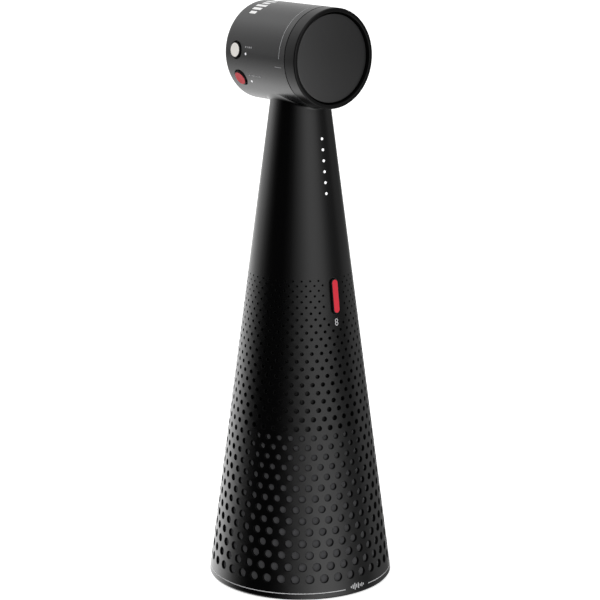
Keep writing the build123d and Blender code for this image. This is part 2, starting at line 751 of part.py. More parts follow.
def button_carrier():
    """Curved plate inside the head with a collar in each hole and legs for the switch boards."""
    half = BUTTON_BOARD_LENGTH / 2
    plate = head_ring(CARRIER_OUTER, CARRIER_INNER, BUTTON_BOARD_MIDDLE - half, BUTTON_BOARD_MIDDLE + half)
    keep = Plane(origin=(0, 0, HEAD_HEIGHT), x_dir=(0, 1, 0), z_dir=(-1, 0, 0))
    middle = sum(BUTTON_ANGLES.values()) / 2
    sector = keep * Box(70, 23.0, 40, align=UP)
    plate &= sector.rotate(Axis((0, 0, HEAD_HEIGHT), (0, 1, 0)), middle)
    for angle in BUTTON_ANGLES.values():
        plane = head_plane(BUTTON_BACK, angle)
        board = side_board_plane(angle)
        plate += rod(plane, BUTTON_HOLE - 0.06, -3.0, -1.3)
        for end in (-1, 1):
            leg = board * Pos(end * (half - BOARD_LEG / 2), 0, 0)
            plate += block(leg, BOARD_LEG, 5.0, SWITCH_FLOOR, -3.0)
        plate -= rod(plane, BUTTON_RADIUS + 0.15, -8, 1)
        plate -= rod(plane, BUTTON_FLANGE + 0.2, -6.5, -2.9)
        light = head_plane(STATUS_BACK, angle - STATUS_DROP)
        plate -= rod(light, STATUS_RADIUS + 0.1, -6, 0)
    return plate


def side_button(angle):
    """Cap, retaining flange and switch stem in one moulding."""
    plane = head_plane(BUTTON_BACK, angle)
    cap = rod(plane, BUTTON_RADIUS, -3.2, BUTTON_PROUD)
    top = [e for e in cap.edges() if (plane.to_local_coords(e.center()).Z > BUTTON_PROUD - 0.01)]
    cap = cap.fillet(0.35, top)
    return cap + rod(plane, BUTTON_FLANGE, -3.9, -3.05) + rod(plane, 1.0, -5.7, -3.5)


def side_switches():
    made = []
    for angle in BUTTON_ANGLES.values():
        plane = head_plane(BUTTON_BACK, angle)
        switch = block(plane, 4.6, 4.6, SWITCH_FLOOR, -4.9)
        made.append(switch - rod(plane, 1.12, -6.6, -4))
    return group(made)


def side_boards():
    made = []
    for angle in BUTTON_ANGLES.values():
        plane = side_board_plane(angle)
        made.append(block(plane, BUTTON_BOARD_LENGTH, BUTTON_BOARD_WIDTH, SWITCH_FLOOR - 1, SWITCH_FLOOR))
    return group(made)


def status_pipes():
    made = []
    for angle in BUTTON_ANGLES.values():
        plane = head_plane(STATUS_BACK, angle - STATUS_DROP)
        made.append(rod(plane, STATUS_RADIUS, -6.0, 0.03))
    return group(made)


# ---- knob, centre disc and what they work -------------------------------------------------

BULKHEAD_BACK = -16.2
BULKHEAD_FRONT = -18.6
BOSS_FRONT = -22.2
BOSS_RADIUS = 19.7
BOSS_BORE = 16.5
WEB_BACK = -20.5
WEB_FRONT = -21.9
RETAINER_SPOTS = around(18.1, 3, 90)


def front_bulkhead():
    """Closes the front of the head tube; the knob turns on its boss."""
    points = [
        (6.5, BULKHEAD_BACK),
        (23.3, BULKHEAD_BACK),
        (23.3, BULKHEAD_FRONT),
        (BOSS_RADIUS, BULKHEAD_FRONT),
        (BOSS_RADIUS, BOSS_FRONT),
        (BOSS_BORE, BOSS_FRONT),
        (BOSS_BORE, BULKHEAD_FRONT),
        (6.5, BULKHEAD_FRONT),
    ]
    bulkhead = turned(points, HEAD_HEIGHT)
    bulkhead -= block(HEAD_AXIS * Pos(0, -21.3, 0), 3.6, 2.6, BULKHEAD_FRONT - 1, BULKHEAD_BACK + 1)
    for x, z in RETAINER_SPOTS:
        bulkhead -= rod(HEAD_AXIS * Pos(x, z, 0), 0.6, BOSS_FRONT - 1, BOSS_FRONT + 3)
    return bulkhead


def knob_ring():
    edge = 0.8
    profile = Polyline(
        (KNOB_MOUTH, KNOB_FRONT + 0.35),
        (KNOB_MOUTH + 0.35, KNOB_FRONT),
        (KNOB_RADIUS - edge, KNOB_FRONT),
    )
    profile += ThreePointArc(
        (KNOB_RADIUS - edge, KNOB_FRONT),
        (KNOB_RADIUS - edge + edge * sin(pi / 4), KNOB_FRONT + edge - edge * cos(pi / 4)),
        (KNOB_RADIUS, KNOB_FRONT + edge),
    )
    profile += Polyline(
        (KNOB_RADIUS, KNOB_FRONT + edge),
        (KNOB_RADIUS, KNOB_BACK - 0.25),
        (KNOB_RADIUS - 0.25, KNOB_BACK),
        (23.1, KNOB_BACK),
        (23.1, WEB_BACK),
        (BOSS_RADIUS + 0.1, WEB_BACK),
        (BOSS_RADIUS + 0.1, WEB_FRONT),
        (KNOB_MOUTH, WEB_FRONT),
        (KNOB_MOUTH, KNOB_FRONT + 0.35),
    )
    ring = revolve(make_face(profile), Axis.Y)
    return Pos(0, 0, HEAD_HEIGHT) * ring


def encoder_magnet():
    return head_ring(22.6, 20.4, WEB_BACK, -19.3)


def knob_retainer():
    ring = head_ring(21.4, BOSS_BORE, BOSS_FRONT - 0.8, BOSS_FRONT)
    for x, z in RETAINER_SPOTS:
        ring -= rod(HEAD_AXIS * Pos(x, z, 0), 0.75, -24, -21)
    return ring


def retainer_screw(x, z):
    spot = HEAD_AXIS * Pos(x, z, 0)
    head = rod(spot, 1.3, BOSS_FRONT - 1.0, BOSS_FRONT - 0.8)
    return head + rod(spot, 0.55, BOSS_FRONT - 0.9, BOSS_FRONT + 2.4)


def centre_disc():
    """Shallow domed push disc with a guide skirt inside the boss and a plunger."""
    arc = ThreePointArc(
        (0, DISC_EDGE - DISC_DOME),
        (DISC_RADIUS * 0.5, DISC_EDGE - DISC_DOME * 0.77),
        (DISC_RADIUS - 0.3, DISC_EDGE - 0.08),
    )
    outline = arc + Polyline(
        (DISC_RADIUS - 0.3, DISC_EDGE - 0.08),
        (DISC_RADIUS, DISC_EDGE + 0.22),
        (DISC_RADIUS, DISC_BACK),
        (16.3, DISC_BACK),
        (16.3, -19.6),
        (14.9, -19.6),
        (14.9, DISC_BACK),
        (1.6, DISC_BACK),
        (1.6, -18.7),
        (0, -18.7),
        (0, DISC_EDGE - DISC_DOME),
    )
    return Pos(0, 0, HEAD_HEIGHT) * revolve(make_face(outline), Axis.Y)


def front_board():
    return head_disc(22.6, BULKHEAD_BACK, -14.8)


def mute_switch():
    switch = block(HEAD_AXIS, 7.0, 7.0, -19.4, BULKHEAD_BACK)
    return switch - rod(HEAD_AXIS, 1.75, -20, -17.4)


def turn_sensor():
    return block(HEAD_AXIS * Pos(0, -21.3, 0), 3.0, 2.0, -17.6, BULKHEAD_BACK)


# ---- wiring through the neck --------------------------------------------------------------


def head_cable():
    """Sleeved loom from the main board's top edge, through the neck, to the front board."""
    spots = [(-8.2, 166.0), (-8.2, 178.0), (4.5, 196.0), (4.5, 256.0), (-1.0, 265.0), (-14.8, 265.0)]
    route = [(0, y, z) for y, z in spots]
    path = FilletPolyline(route, radius=[6.0, 6.0, 5.0, 4.0])
    section = Plane(origin=route[0], z_dir=(0, 0, 1)) * Circle(1.3)
    return sweep(section, path)


# ---- write the parts ----------------------------------------------------------------------

PARTS = {
    "cone_shell": cone_shell,
    "rubber_foot": rubber_foot,
    "base_plate": base_plate,
    "base_screws": lambda: group([base_screw(x, y) for x, y in LEG_SPOTS]),
    "sound_deflector": sound_deflector,
    "port_panel": port_panel,
    "port_board": port_board,
    "usb_socket": usb_socket,
    "audio_in_jack": lambda: audio_jack(-1),
    "audio_out_jack": lambda: audio_jack(1),
    "acoustic_cloth": acoustic_cloth,
    "grille_backing": grille_backing,
    "speaker_cabinet": cabinet,
    "speaker_baffle": baffle,
    "driver_basket": driver_basket,
    "driver_surround": driver_surround,
    "driver_cone": driver_cone,
    "voice_coil": voice_coil,
    "driver_magnet": driver_magnet,
    "driver_screws": lambda: group([driver_screw(x, y) for x, y in DRIVER_SCREWS]),
    "left_radiator": lambda: passive_radiator(-1),
    "right_radiator": lambda: passive_radiator(1),
    "inner_frame": inner_frame,
    "frame_screws": lambda: group([frame_screw(x, y) for x, y in around(24.0, 4, 45)]),
    "left_battery_cell": lambda: battery_cell(-1),
    "right_battery_cell": lambda: battery_cell(1),
    "battery_bracket": battery_bracket,
    "main_board": main_board,
    "board_parts": board_parts,
    "radio_shield": radio_shield,
    "board_screws": lambda: group([board_screw(x, z) for x, z in BOARD_SPOTS]),
    "button_frame": button_frame,
    "pairing_button": pairing_button,
    "pairing_cap": pairing_cap,
    "pairing_switch": pairing_switch,
    "pairing_board": pairing_board,
    "light_guide": light_guide,
    "light_chips": light_chips,
    "light_board": light_board,
    "neck_bracket": neck_bracket,
    "neck_screws": lambda: group([neck_screw(x, z) for x, z in NECK_SCREW_SPOTS]),
    "head_tube": head_tube,
    "rear_disc": rear_disc,
    "mic_board": mic_board,
    "mic_capsules": mic_capsules,
    "mic_gasket": mic_gasket,
    "button_carrier": button_carrier,
    "white_button": lambda: side_button(BUTTON_ANGLES["white"]),
    "red_button": lambda: side_button(BUTTON_ANGLES["red"]),
    "side_switches": side_switches,
    "side_boards": side_boards,
    "status_pipes": status_pipes,
    "front_bulkhead": front_bulkhead,
    "knob_ring": knob_ring,
    "encoder_magnet": encoder_magnet,
    "knob_retainer": knob_retainer,
    "centre_disc": centre_disc,
    "front_board": front_board,
    "mute_switch": mute_switch,
    "head_cable": head_cable,
}

os.makedirs("parts", exist_ok=True)
for node, make in PARTS.items():
    export_step(make(), f"parts/{node}.step")
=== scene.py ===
"""Looks for the conference speakerphone. Metres, +Z up, and the front of the object faces -Y."""

from math import atan, atan2, copysign, cos, hypot, pi, radians, sin, sqrt

import bmesh
import bpy
from mathutils import Matrix, Vector


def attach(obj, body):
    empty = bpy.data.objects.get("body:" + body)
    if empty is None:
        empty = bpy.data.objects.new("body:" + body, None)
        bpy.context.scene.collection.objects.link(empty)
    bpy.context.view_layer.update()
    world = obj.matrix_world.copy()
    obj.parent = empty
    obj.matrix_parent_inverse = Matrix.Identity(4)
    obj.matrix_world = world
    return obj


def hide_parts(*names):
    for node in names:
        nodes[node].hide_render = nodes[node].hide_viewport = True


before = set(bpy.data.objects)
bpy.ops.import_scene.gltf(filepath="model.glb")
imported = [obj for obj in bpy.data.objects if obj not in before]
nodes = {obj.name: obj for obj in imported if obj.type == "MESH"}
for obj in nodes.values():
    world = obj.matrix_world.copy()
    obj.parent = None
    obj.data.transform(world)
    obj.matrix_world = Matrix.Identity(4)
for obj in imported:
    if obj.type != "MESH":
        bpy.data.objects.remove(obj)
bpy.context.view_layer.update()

# ---- Cone shell -----------------------------------------------------------------------------
# The housing is one tall moulding in satin black plastic, 1.4 mm thick. Staggered rows of holes
# climb it, shrinking as they go, and it flares where it is welded to the underside of the head.

MM = 0.001
NEARLY = 0.01 * MM
BASE_RADIUS = 48 * MM
SLOPE = (48 - 15.5) / 247.8
TILT = atan(SLOPE)
SHELL_BOTTOM = 0.8 * MM
SHELL_WALL = 1.4 * MM
HEAD_HEIGHT = 273.3 * MM
HEAD_RADIUS = 25 * MM
HOLES_PER_ROW = 39
HOLE_ROWS = 36
FIRST_ROW = 11.2 * MM
ROW_PITCH = 6.267 * MM
ROW_PITCH_SHRINK = 0.0557 * MM
SMALLEST_HOLE = 0.85 * MM
HOLE_GROWTH = 3.62 * MM
HOLE_SIDES = 16
CLEAR_ALONG = 2.5 * MM
SLOT_HEIGHT = 153.7 * MM
SLOT_WIDTH = 6.7 * MM
SLOT_LENGTH = 19.5 * MM
PAIR_MARK_HEIGHT = 140.6 * MM
LIGHT_COUNT = 6
LIGHT_TOP = 232.5 * MM
LIGHT_PITCH = 5.46 * MM
LIGHT_HOLE = 0.8 * MM
SOCKET_HEIGHT = 17.3 * MM
SOCKET_CUT_WIDTH = 33.6 * MM
SOCKET_CUT_HEIGHT = 9.6 * MM
SOCKET_WALL_BACK = 44 * MM


def cone_radius(height):
    return BASE_RADIUS - SLOPE * height


def on_cone(angle, height, lift=0.0):
    """A point on the cone's outside; the angle runs round from the front towards +X."""
    radius = cone_radius(height) + lift
    return Vector((radius * sin(angle), -radius * cos(angle), height))


def work_on(piece, mode="OBJECT"):
    """Leaves only this piece selected and active."""
    if bpy.context.object and bpy.context.object.mode != "OBJECT":
        bpy.ops.object.mode_set(mode="OBJECT")
    bpy.ops.object.select_all(action="DESELECT")
    piece.select_set(True)
    bpy.context.view_layer.objects.active = piece
    bpy.ops.object.mode_set(mode=mode)


def choose(piece, kind, accepts):
    """In edit mode, selects the "verts", "edges" or "faces" that accepts() says yes to."""
    bpy.context.tool_settings.mesh_select_mode = (kind == "verts", kind == "edges", kind == "faces")
    bpy.ops.mesh.select_all(action="DESELECT")
    mesh = bmesh.from_edit_mesh(piece.data)
    for item in getattr(mesh, kind):
        item.select_set(accepts(item))
    bmesh.update_edit_mesh(piece.data)


def place_chosen(piece, placed):
    """In edit mode, moves each selected vertex to placed(where it is)."""
    mesh = bmesh.from_edit_mesh(piece.data)
    for vert in mesh.verts:
        if vert.select:
            vert.co = placed(vert.co)
    bmesh.update_edit_mesh(piece.data)


def extrude_ring(piece, placed):
    """Extrudes the selected edges and puts the new ring where placed() says."""
    bpy.ops.mesh.extrude_edges_move(TRANSFORM_OT_translate={"value": (0, 0, 0)})
    place_chosen(piece, placed)


def apply_modifier(piece, kind, **settings):
    work_on(piece)
    modifier = piece.modifiers.new(kind.lower(), kind)
    for key, value in settings.items():
        setattr(modifier, key, value)
    bpy.ops.object.modifier_apply(modifier=modifier.name)


def joined(pieces, name):
    """Joins several pieces into the first."""
    work_on(pieces[0])
    for piece in pieces[1:]:
        piece.select_set(True)
    bpy.ops.object.join()
    pieces[0].name = name
    return pieces[0]


def seat(piece, matrix):
    """Turns and moves a finished mesh into place and leaves its object at the origin."""
    piece.matrix_world = matrix @ piece.matrix_world
    work_on(piece)
    bpy.ops.object.transform_apply(location=True, rotation=True, scale=True)
    return piece


def looking(origin, x_axis, z_axis):
    """The placing that sits at origin with these two axes; they are made unit length."""
    x_axis, z_axis = Vector(x_axis).normalized(), Vector(z_axis).normalized()
    y_axis = z_axis.cross(x_axis)
    turn = Matrix((x_axis, y_axis, z_axis)).transposed().to_4x4()
    return Matrix.Translation(origin) @ turn


def pill_block(name, width, length, low, high):
    """A bar with round ends, long way along Y: a circle pulled apart, then extruded."""
    bpy.ops.object.select_all(action="DESELECT")
    bpy.ops.mesh.primitive_circle_add(
        vertices=40, radius=width / 2, fill_type="NGON", location=(0, 0, low), rotation=(0, 0, radians(4.5))
    )
    block = bpy.context.object
    block.name = name
    bpy.ops.object.transform_apply(location=True, rotation=True)
    work_on(block, "EDIT")
    bpy.ops.mesh.select_all(action="SELECT")
    reach = (length - width) / 2
    place_chosen(block, lambda co: Vector((co.x, co.y + copysign(reach, co.y), co.z)))
    bpy.ops.mesh.extrude_region_move(TRANSFORM_OT_translate={"value": (0, 0, high - low)})
    bpy.ops.mesh.select_all(action="SELECT")
    bpy.ops.mesh.normals_make_consistent(inside=False)
    bpy.ops.object.mode_set(mode="OBJECT")
    return block


def rod(name, radius, low, high, sides=32):
    bpy.ops.object.select_all(action="DESELECT")
    bpy.ops.mesh.primitive_cylinder_add(
        vertices=sides, radius=radius, depth=high - low, location=(0, 0, (low + high) / 2)
    )
    bpy.context.object.name = name
    bpy.ops.object.transform_apply(location=True)
    return bpy.context.object


def back_wall_block(width, depth, height):
    """A block that crosses the back of the wall at the sockets, to cut with."""
    bpy.ops.object.select_all(action="DESELECT")
    bpy.ops.mesh.primitive_cube_add(
        size=1, location=(0, SOCKET_WALL_BACK, SOCKET_HEIGHT), scale=(width, depth, height)
    )
    bpy.ops.object.transform_apply(location=True, scale=True)
    return bpy.context.object


def cut_away(piece, cutters):
    """Takes the joined cutters out of the piece."""
    cutter = joined(cutters, "cutter") if len(cutters) > 1 else cutters[0]
    apply_modifier(piece, "BOOLEAN", operation="DIFFERENCE", solver="EXACT", object=cutter)
    bpy.data.objects.remove(cutter)


def row_height(row):
    return FIRST_ROW + ROW_PITCH * row - ROW_PITCH_SHRINK * row * row


def hole_radius(row):
    return (SMALLEST_HOLE + HOLE_GROWTH * (1 - row / HOLE_ROWS) ** 1.4) / 2


def is_kept_clear(height, angle):
    """True where the pattern leaves out a hole, round the pairing key and the sockets."""
    front = cone_radius(height) * ((angle + pi) % (2 * pi) - pi)
    back = cone_radius(height) * (angle % (2 * pi) - pi)
    zones = (
        (front, SLOT_WIDTH / 2 + CLEAR_ALONG, SLOT_HEIGHT, SLOT_LENGTH / 2 + CLEAR_ALONG),
        (front, 4 * MM, PAIR_MARK_HEIGHT, 3.4 * MM),
        (back, SOCKET_CUT_WIDTH / 2 + 5 * MM, SOCKET_HEIGHT, SOCKET_CUT_HEIGHT / 2 + CLEAR_ALONG),
    )
    return any(
        abs(across) < half_width and abs(height - middle) < half_height
        for across, half_width, middle, half_height in zones
    )


# one cell of the pattern, a hole's rim inside a unit square with four steps to a side
FLAT_RIM = 0.25
RIM_STEP = 0.095
bpy.ops.object.select_all(action="DESELECT")
bpy.ops.mesh.primitive_circle_add(vertices=HOLE_SIDES, radius=FLAT_RIM, fill_type="NGON")
shell = bpy.context.object
shell.name = "perforated_shell"
work_on(shell, "EDIT")
bpy.ops.mesh.select_all(action="SELECT")
extrude_ring(shell, lambda co: Vector([copysign(min(0.5, round(abs(c) / RIM_STEP) / 4), c) for c in co]))
bpy.ops.object.mode_set(mode="OBJECT")

# thirty-nine cells make a row, the next row is half a cell over, and eighteen pairs make the sheet
apply_modifier(
    shell,
    "ARRAY",
    count=HOLES_PER_ROW,
    relative_offset_displace=(1, 0, 0),
    use_merge_vertices=True,
)
bpy.ops.object.duplicate()
next_row = bpy.context.object
next_row.location = (-0.5, 1, 0)
sheet = joined([shell, next_row], "perforated_shell")
apply_modifier(
    sheet,
    "ARRAY",
    count=HOLE_ROWS // 2,
    use_relative_offset=False,
    use_constant_offset=True,
    constant_offset_displace=(0, 2, 0),
)


def rolled(co):
    """Rolls the flat sheet of cells into the cone and gives each rim its row's radius."""
    row = round(co.y)
    shift = 0.0 if row % 2 == 0 else -0.5
    column = round(co.x - shift)
    across, up = co.x - shift - column, co.y - row
    step = 2 * pi / HOLES_PER_ROW
    if hypot(across, up) > FLAT_RIM * 1.2:
        return on_cone((co.x + 0.5) * step, row_height(co.y))
    turn = atan2(up, across)
    radius, middle = hole_radius(row), row_height(row)
    angle = (column + shift + 0.5) * step + radius * cos(turn) / cone_radius(middle)
    return on_cone(angle, middle + radius * sin(turn) * cos(TILT))


work_on(shell, "EDIT")
bpy.ops.mesh.select_all(action="SELECT")
place_chosen(shell, rolled)
bpy.ops.mesh.remove_doubles(threshold=0.005 * MM)


def is_open_hole(face):
    middle = face.calc_center_median()
    return len(face.verts) == HOLE_SIDES and not is_kept_clear(middle.z, atan2(middle.x, -middle.y))


choose(shell, "faces", is_open_hole)
bpy.ops.mesh.delete(type="ONLY_FACE")

# plain wall below the pattern, with a chamfered lower edge
pattern_low, pattern_high = row_height(-0.5), row_height(HOLE_ROWS - 0.5)
choose(shell, "edges", lambda e: e.is_boundary and all(v.co.z < pattern_low + 0.01 * MM for v in e.verts))
extrude_ring(shell, lambda co: on_cone(atan2(co.x, -co.y), SHELL_BOTTOM + 0.7 * MM))
extrude_ring(shell, lambda co: on_cone(atan2(co.x, -co.y), SHELL_BOTTOM, -0.5 * MM))

# plain wall above it, then the flare that meets the round underside of the head
NECK_FLARE = 1.7 * MM
NECK_RADIUS = 15.4 * MM
PLAIN_RINGS = (178 * MM, 192 * MM, 206 * MM, 220 * MM, 233 * MM)
choose(shell, "edges", lambda e: e.is_boundary and all(v.co.z > pattern_high - 0.01 * MM for v in e.verts))
for height in PLAIN_RINGS:
    extrude_ring(shell, lambda co, height=height: on_cone(atan2(co.x, -co.y), height))


def head_underside(x):
    return HEAD_HEIGHT - sqrt(HEAD_RADIUS**2 - x * x)


def flared(co, turn):
    """Where the neck's wall lies once it has turned that far outwards under the head."""
    angle = atan2(co.x, -co.y)
    foot = head_underside(NECK_RADIUS * sin(angle)) - NECK_FLARE
    radius = cone_radius(foot) + NECK_FLARE * (1 - cos(turn))
    height = head_underside(radius * sin(angle)) - NECK_FLARE * (1 - sin(turn))
    return Vector((radius * sin(angle), -radius * cos(angle), height))


for turn in (0, 22.5, 45, 67.5, 90):
    extrude_ring(shell, lambda co, turn=turn: flared(co, radians(turn)))
extrude_ring(shell, lambda co: co + Vector((0, 0, 0.3 * MM)))
bpy.ops.mesh.select_all(action="SELECT")
bpy.ops.mesh.normals_make_consistent(inside=False)
bpy.ops.object.mode_set(mode="OBJECT")
apply_modifier(shell, "SOLIDIFY", thickness=SHELL_WALL, offset=-1, use_even_offset=True)


def is_hole_rim(edge):
    if not all(pattern_low < v.co.z < pattern_high for v in edge.verts):
        return False
    on_skin = all(abs(hypot(v.co.x, v.co.y) - cone_radius(v.co.z)) < 0.02 * MM for v in edge.verts)
    return on_skin and edge.calc_face_angle(0) > radians(60)


# each hole's outer rim is softened
work_on(shell, "EDIT")
choose(shell, "edges", is_hole_rim)
bpy.ops.mesh.bevel(offset=0.12 * MM, segments=1)
bpy.ops.object.mode_set(mode="OBJECT")

# the slot, the light holes and the socket cut-out go right through
FRONT_NORMAL = (0, -cos(TILT), sin(TILT))
slot_place = looking(on_cone(0, SLOT_HEIGHT), (1, 0, 0), FRONT_NORMAL)
cutters = [seat(pill_block("slot_cut", SLOT_WIDTH, SLOT_LENGTH, -4 * MM, 3 * MM), slot_place)]
for i in range(LIGHT_COUNT):
    light_place = looking(on_cone(0, LIGHT_TOP - LIGHT_PITCH * i), (1, 0, 0), FRONT_NORMAL)
    cutters.append(seat(rod("light_cut", LIGHT_HOLE, -4 * MM, 3 * MM, 24), light_place))
socket_cut = back_wall_block(SOCKET_CUT_WIDTH, 16 * MM, SOCKET_CUT_HEIGHT)
work_on(socket_cut, "EDIT")
choose(socket_cut, "edges", lambda e: abs(e.verts[0].co.y - e.verts[1].co.y) > 10 * MM)
bpy.ops.mesh.bevel(offset=2.5 * MM, segments=6)
bpy.ops.object.mode_set(mode="OBJECT")
cut_away(shell, cutters + [socket_cut])


def moulded_surface():
    """Shared group: fine moulded grain, and faint smudges that shift colour and gloss."""
    group = bpy.data.node_groups.new("moulded_surface", "ShaderNodeTree")
    face = group.interface
    face.new_socket("Colour", in_out="INPUT", socket_type="NodeSocketColor")
    for name in ("Roughness", "Grain Scale", "Smudge"):
        face.new_socket(name, in_out="INPUT", socket_type="NodeSocketFloat")
    face.new_socket("Colour", in_out="OUTPUT", socket_type="NodeSocketColor")
    face.new_socket("Roughness", in_out="OUTPUT", socket_type="NodeSocketFloat")
    face.new_socket("Height", in_out="OUTPUT", socket_type="NodeSocketFloat")
    node, link = group.nodes.new, group.links.new
    inputs, outputs = node("NodeGroupInput"), node("NodeGroupOutput")
    place = node("ShaderNodeTexCoord")
    grain = node("ShaderNodeTexNoise")
    grain.inputs["Detail"].default_value = 3
    link(place.outputs["Object"], grain.inputs["Vector"])
    link(inputs.outputs["Grain Scale"], grain.inputs["Scale"])
    link(grain.outputs["Fac"], outputs.inputs["Height"])
    smudge = node("ShaderNodeTexNoise")
    smudge.inputs["Scale"].default_value = 45
    smudge.inputs["Detail"].default_value = 5
    smudge.inputs["Roughness"].default_value = 0.6
    link(place.outputs["Object"], smudge.inputs["Vector"])
    centred = node("ShaderNodeMath")
    centred.operation = "SUBTRACT"
    centred.inputs[1].default_value = 0.5
    link(smudge.outputs["Fac"], centred.inputs[0])
    spread = node("ShaderNodeMath")
    spread.operation = "MULTIPLY"
    link(centred.outputs[0], spread.inputs[0])
    link(inputs.outputs["Smudge"], spread.inputs[1])
    rough = node("ShaderNodeMath")
    rough.operation = "ADD"
    rough.use_clamp = True
    link(inputs.outputs["Roughness"], rough.inputs[0])
    link(spread.outputs[0], rough.inputs[1])
    link(rough.outputs[0], outputs.inputs["Roughness"])
    shade = node("ShaderNodeHueSaturation")
    value = node("ShaderNodeMath")
    value.operation = "MULTIPLY_ADD"
    value.inputs[1].default_value = 1.2
    value.inputs[2].default_value = 1.0
    link(spread.outputs[0], value.inputs[0])
    link(value.outputs[0], shade.inputs["Value"])
    link(inputs.outputs["Colour"], shade.inputs["Color"])
    link(shade.outputs["Color"], outputs.inputs["Colour"])
    return group


MOULDED_SURFACE = moulded_surface()


def moulded(name, colour, roughness, grain=2600, depth=0.02, smudge=0.10, bump=0.25, **shader):
    """A moulded plastic, rubber or metal finish; grain is its scale, depth in mm its height."""
    material = bpy.data.materials.new(name)
    material.use_nodes = True
    tree = material.node_tree
    surface = tree.nodes["Principled BSDF"]
    for key, value in shader.items():
        surface.inputs[key.replace("_", " ")].default_value = value
    group = tree.nodes.new("ShaderNodeGroup")
    group.node_tree = MOULDED_SURFACE
    group.inputs["Colour"].default_value = (*colour, 1)
    group.inputs["Roughness"].default_value = roughness
    group.inputs["Grain Scale"].default_value = grain
    group.inputs["Smudge"].default_value = smudge
    bump_node = tree.nodes.new("ShaderNodeBump")
    bump_node.inputs["Strength"].default_value = bump
    bump_node.inputs["Distance"].default_value = depth * MM
    tree.links.new(group.outputs["Colour"], surface.inputs["Base Color"])
    tree.links.new(group.outputs["Roughness"], surface.inputs["Roughness"])
    tree.links.new(group.outputs["Height"], bump_node.inputs["Height"])
    tree.links.new(bump_node.outputs["Normal"], surface.inputs["Normal"])
    return material


def finish(piece, material, body, slot, *replaced, smooth=35):
    """Shades and colours a modelled piece, rides it on its body and hides the imported parts it stands for.
    """
    work_on(piece)
    bpy.ops.object.shade_smooth_by_angle(angle=radians(smooth))
    apply_modifier(piece, "WEIGHTED_NORMAL", keep_sharp=True)
    piece.data.materials.clear()
    piece.data.materials.append(material)
    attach(piece, body)
    if replaced:
        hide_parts(*replaced)


def second_finish(piece, material, accepts):
    """Gives the faces that accepts() says yes to a second material."""
    piece.data.materials.append(material)
    for face in piece.data.polygons:
        face.material_index = 1 if accepts(face) else 0


shell_black = moulded("shell_black", (0.0016, 0.0016, 0.0017), 0.20, grain=1900, depth=0.012, smudge=0.05)
finish(shell, shell_black, "housing", "shell_black", "cone_shell")

# the holes' walls are left dull by the mould
hole_black = moulded("hole_black", (0.0016, 0.0016, 0.0017), 0.6, smudge=0.05, Specular_IOR_Level=0.12)


FACING_OUT = 0.85


def is_hole_wall(face):
    outward = Vector((face.center.x, face.center.y, 0)).normalized()
    return pattern_low < face.center.z < pattern_high and abs(face.normal.dot(outward)) < FACING_OUT


second_finish(shell, hole_black, is_hole_wall)

# ---- Cloth and film behind the holes --------------------------------------------------------
# A sleeve of woven charcoal cloth is glued inside the wall behind the large lower holes, and
# the small upper holes are backed by a black film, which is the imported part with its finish.

CLOTH_TOP = 85.6 * MM
CLOTH_BOTTOM = 4.0 * MM
CLOTH_THICK = 0.5 * MM
CLOTH_GAP = -SHELL_WALL / cos(TILT) - 0.15 * MM

bpy.ops.object.select_all(action="DESELECT")
bpy.ops.mesh.primitive_cone_add(
    vertices=156,
    radius1=cone_radius(CLOTH_BOTTOM) + CLOTH_GAP,
    radius2=cone_radius(CLOTH_TOP) + CLOTH_GAP,
    depth=CLOTH_TOP - CLOTH_BOTTOM,
    end_fill_type="NOTHING",
    location=(0, 0, (CLOTH_TOP + CLOTH_BOTTOM) / 2),
)
cloth = bpy.context.object
cloth.name = "hole_cloth"
bpy.ops.object.transform_apply(location=True)
work_on(cloth, "EDIT")
bpy.ops.mesh.select_all(action="SELECT")
bpy.ops.mesh.subdivide(number_cuts=1)
bpy.ops.mesh.select_all(action="SELECT")
bpy.ops.mesh.normals_make_consistent(inside=False)
bpy.ops.object.mode_set(mode="OBJECT")
apply_modifier(cloth, "SOLIDIFY", thickness=CLOTH_THICK, offset=-1)
cut_away(cloth, [back_wall_block(34.4 * MM, 20 * MM, 10.4 * MM)])


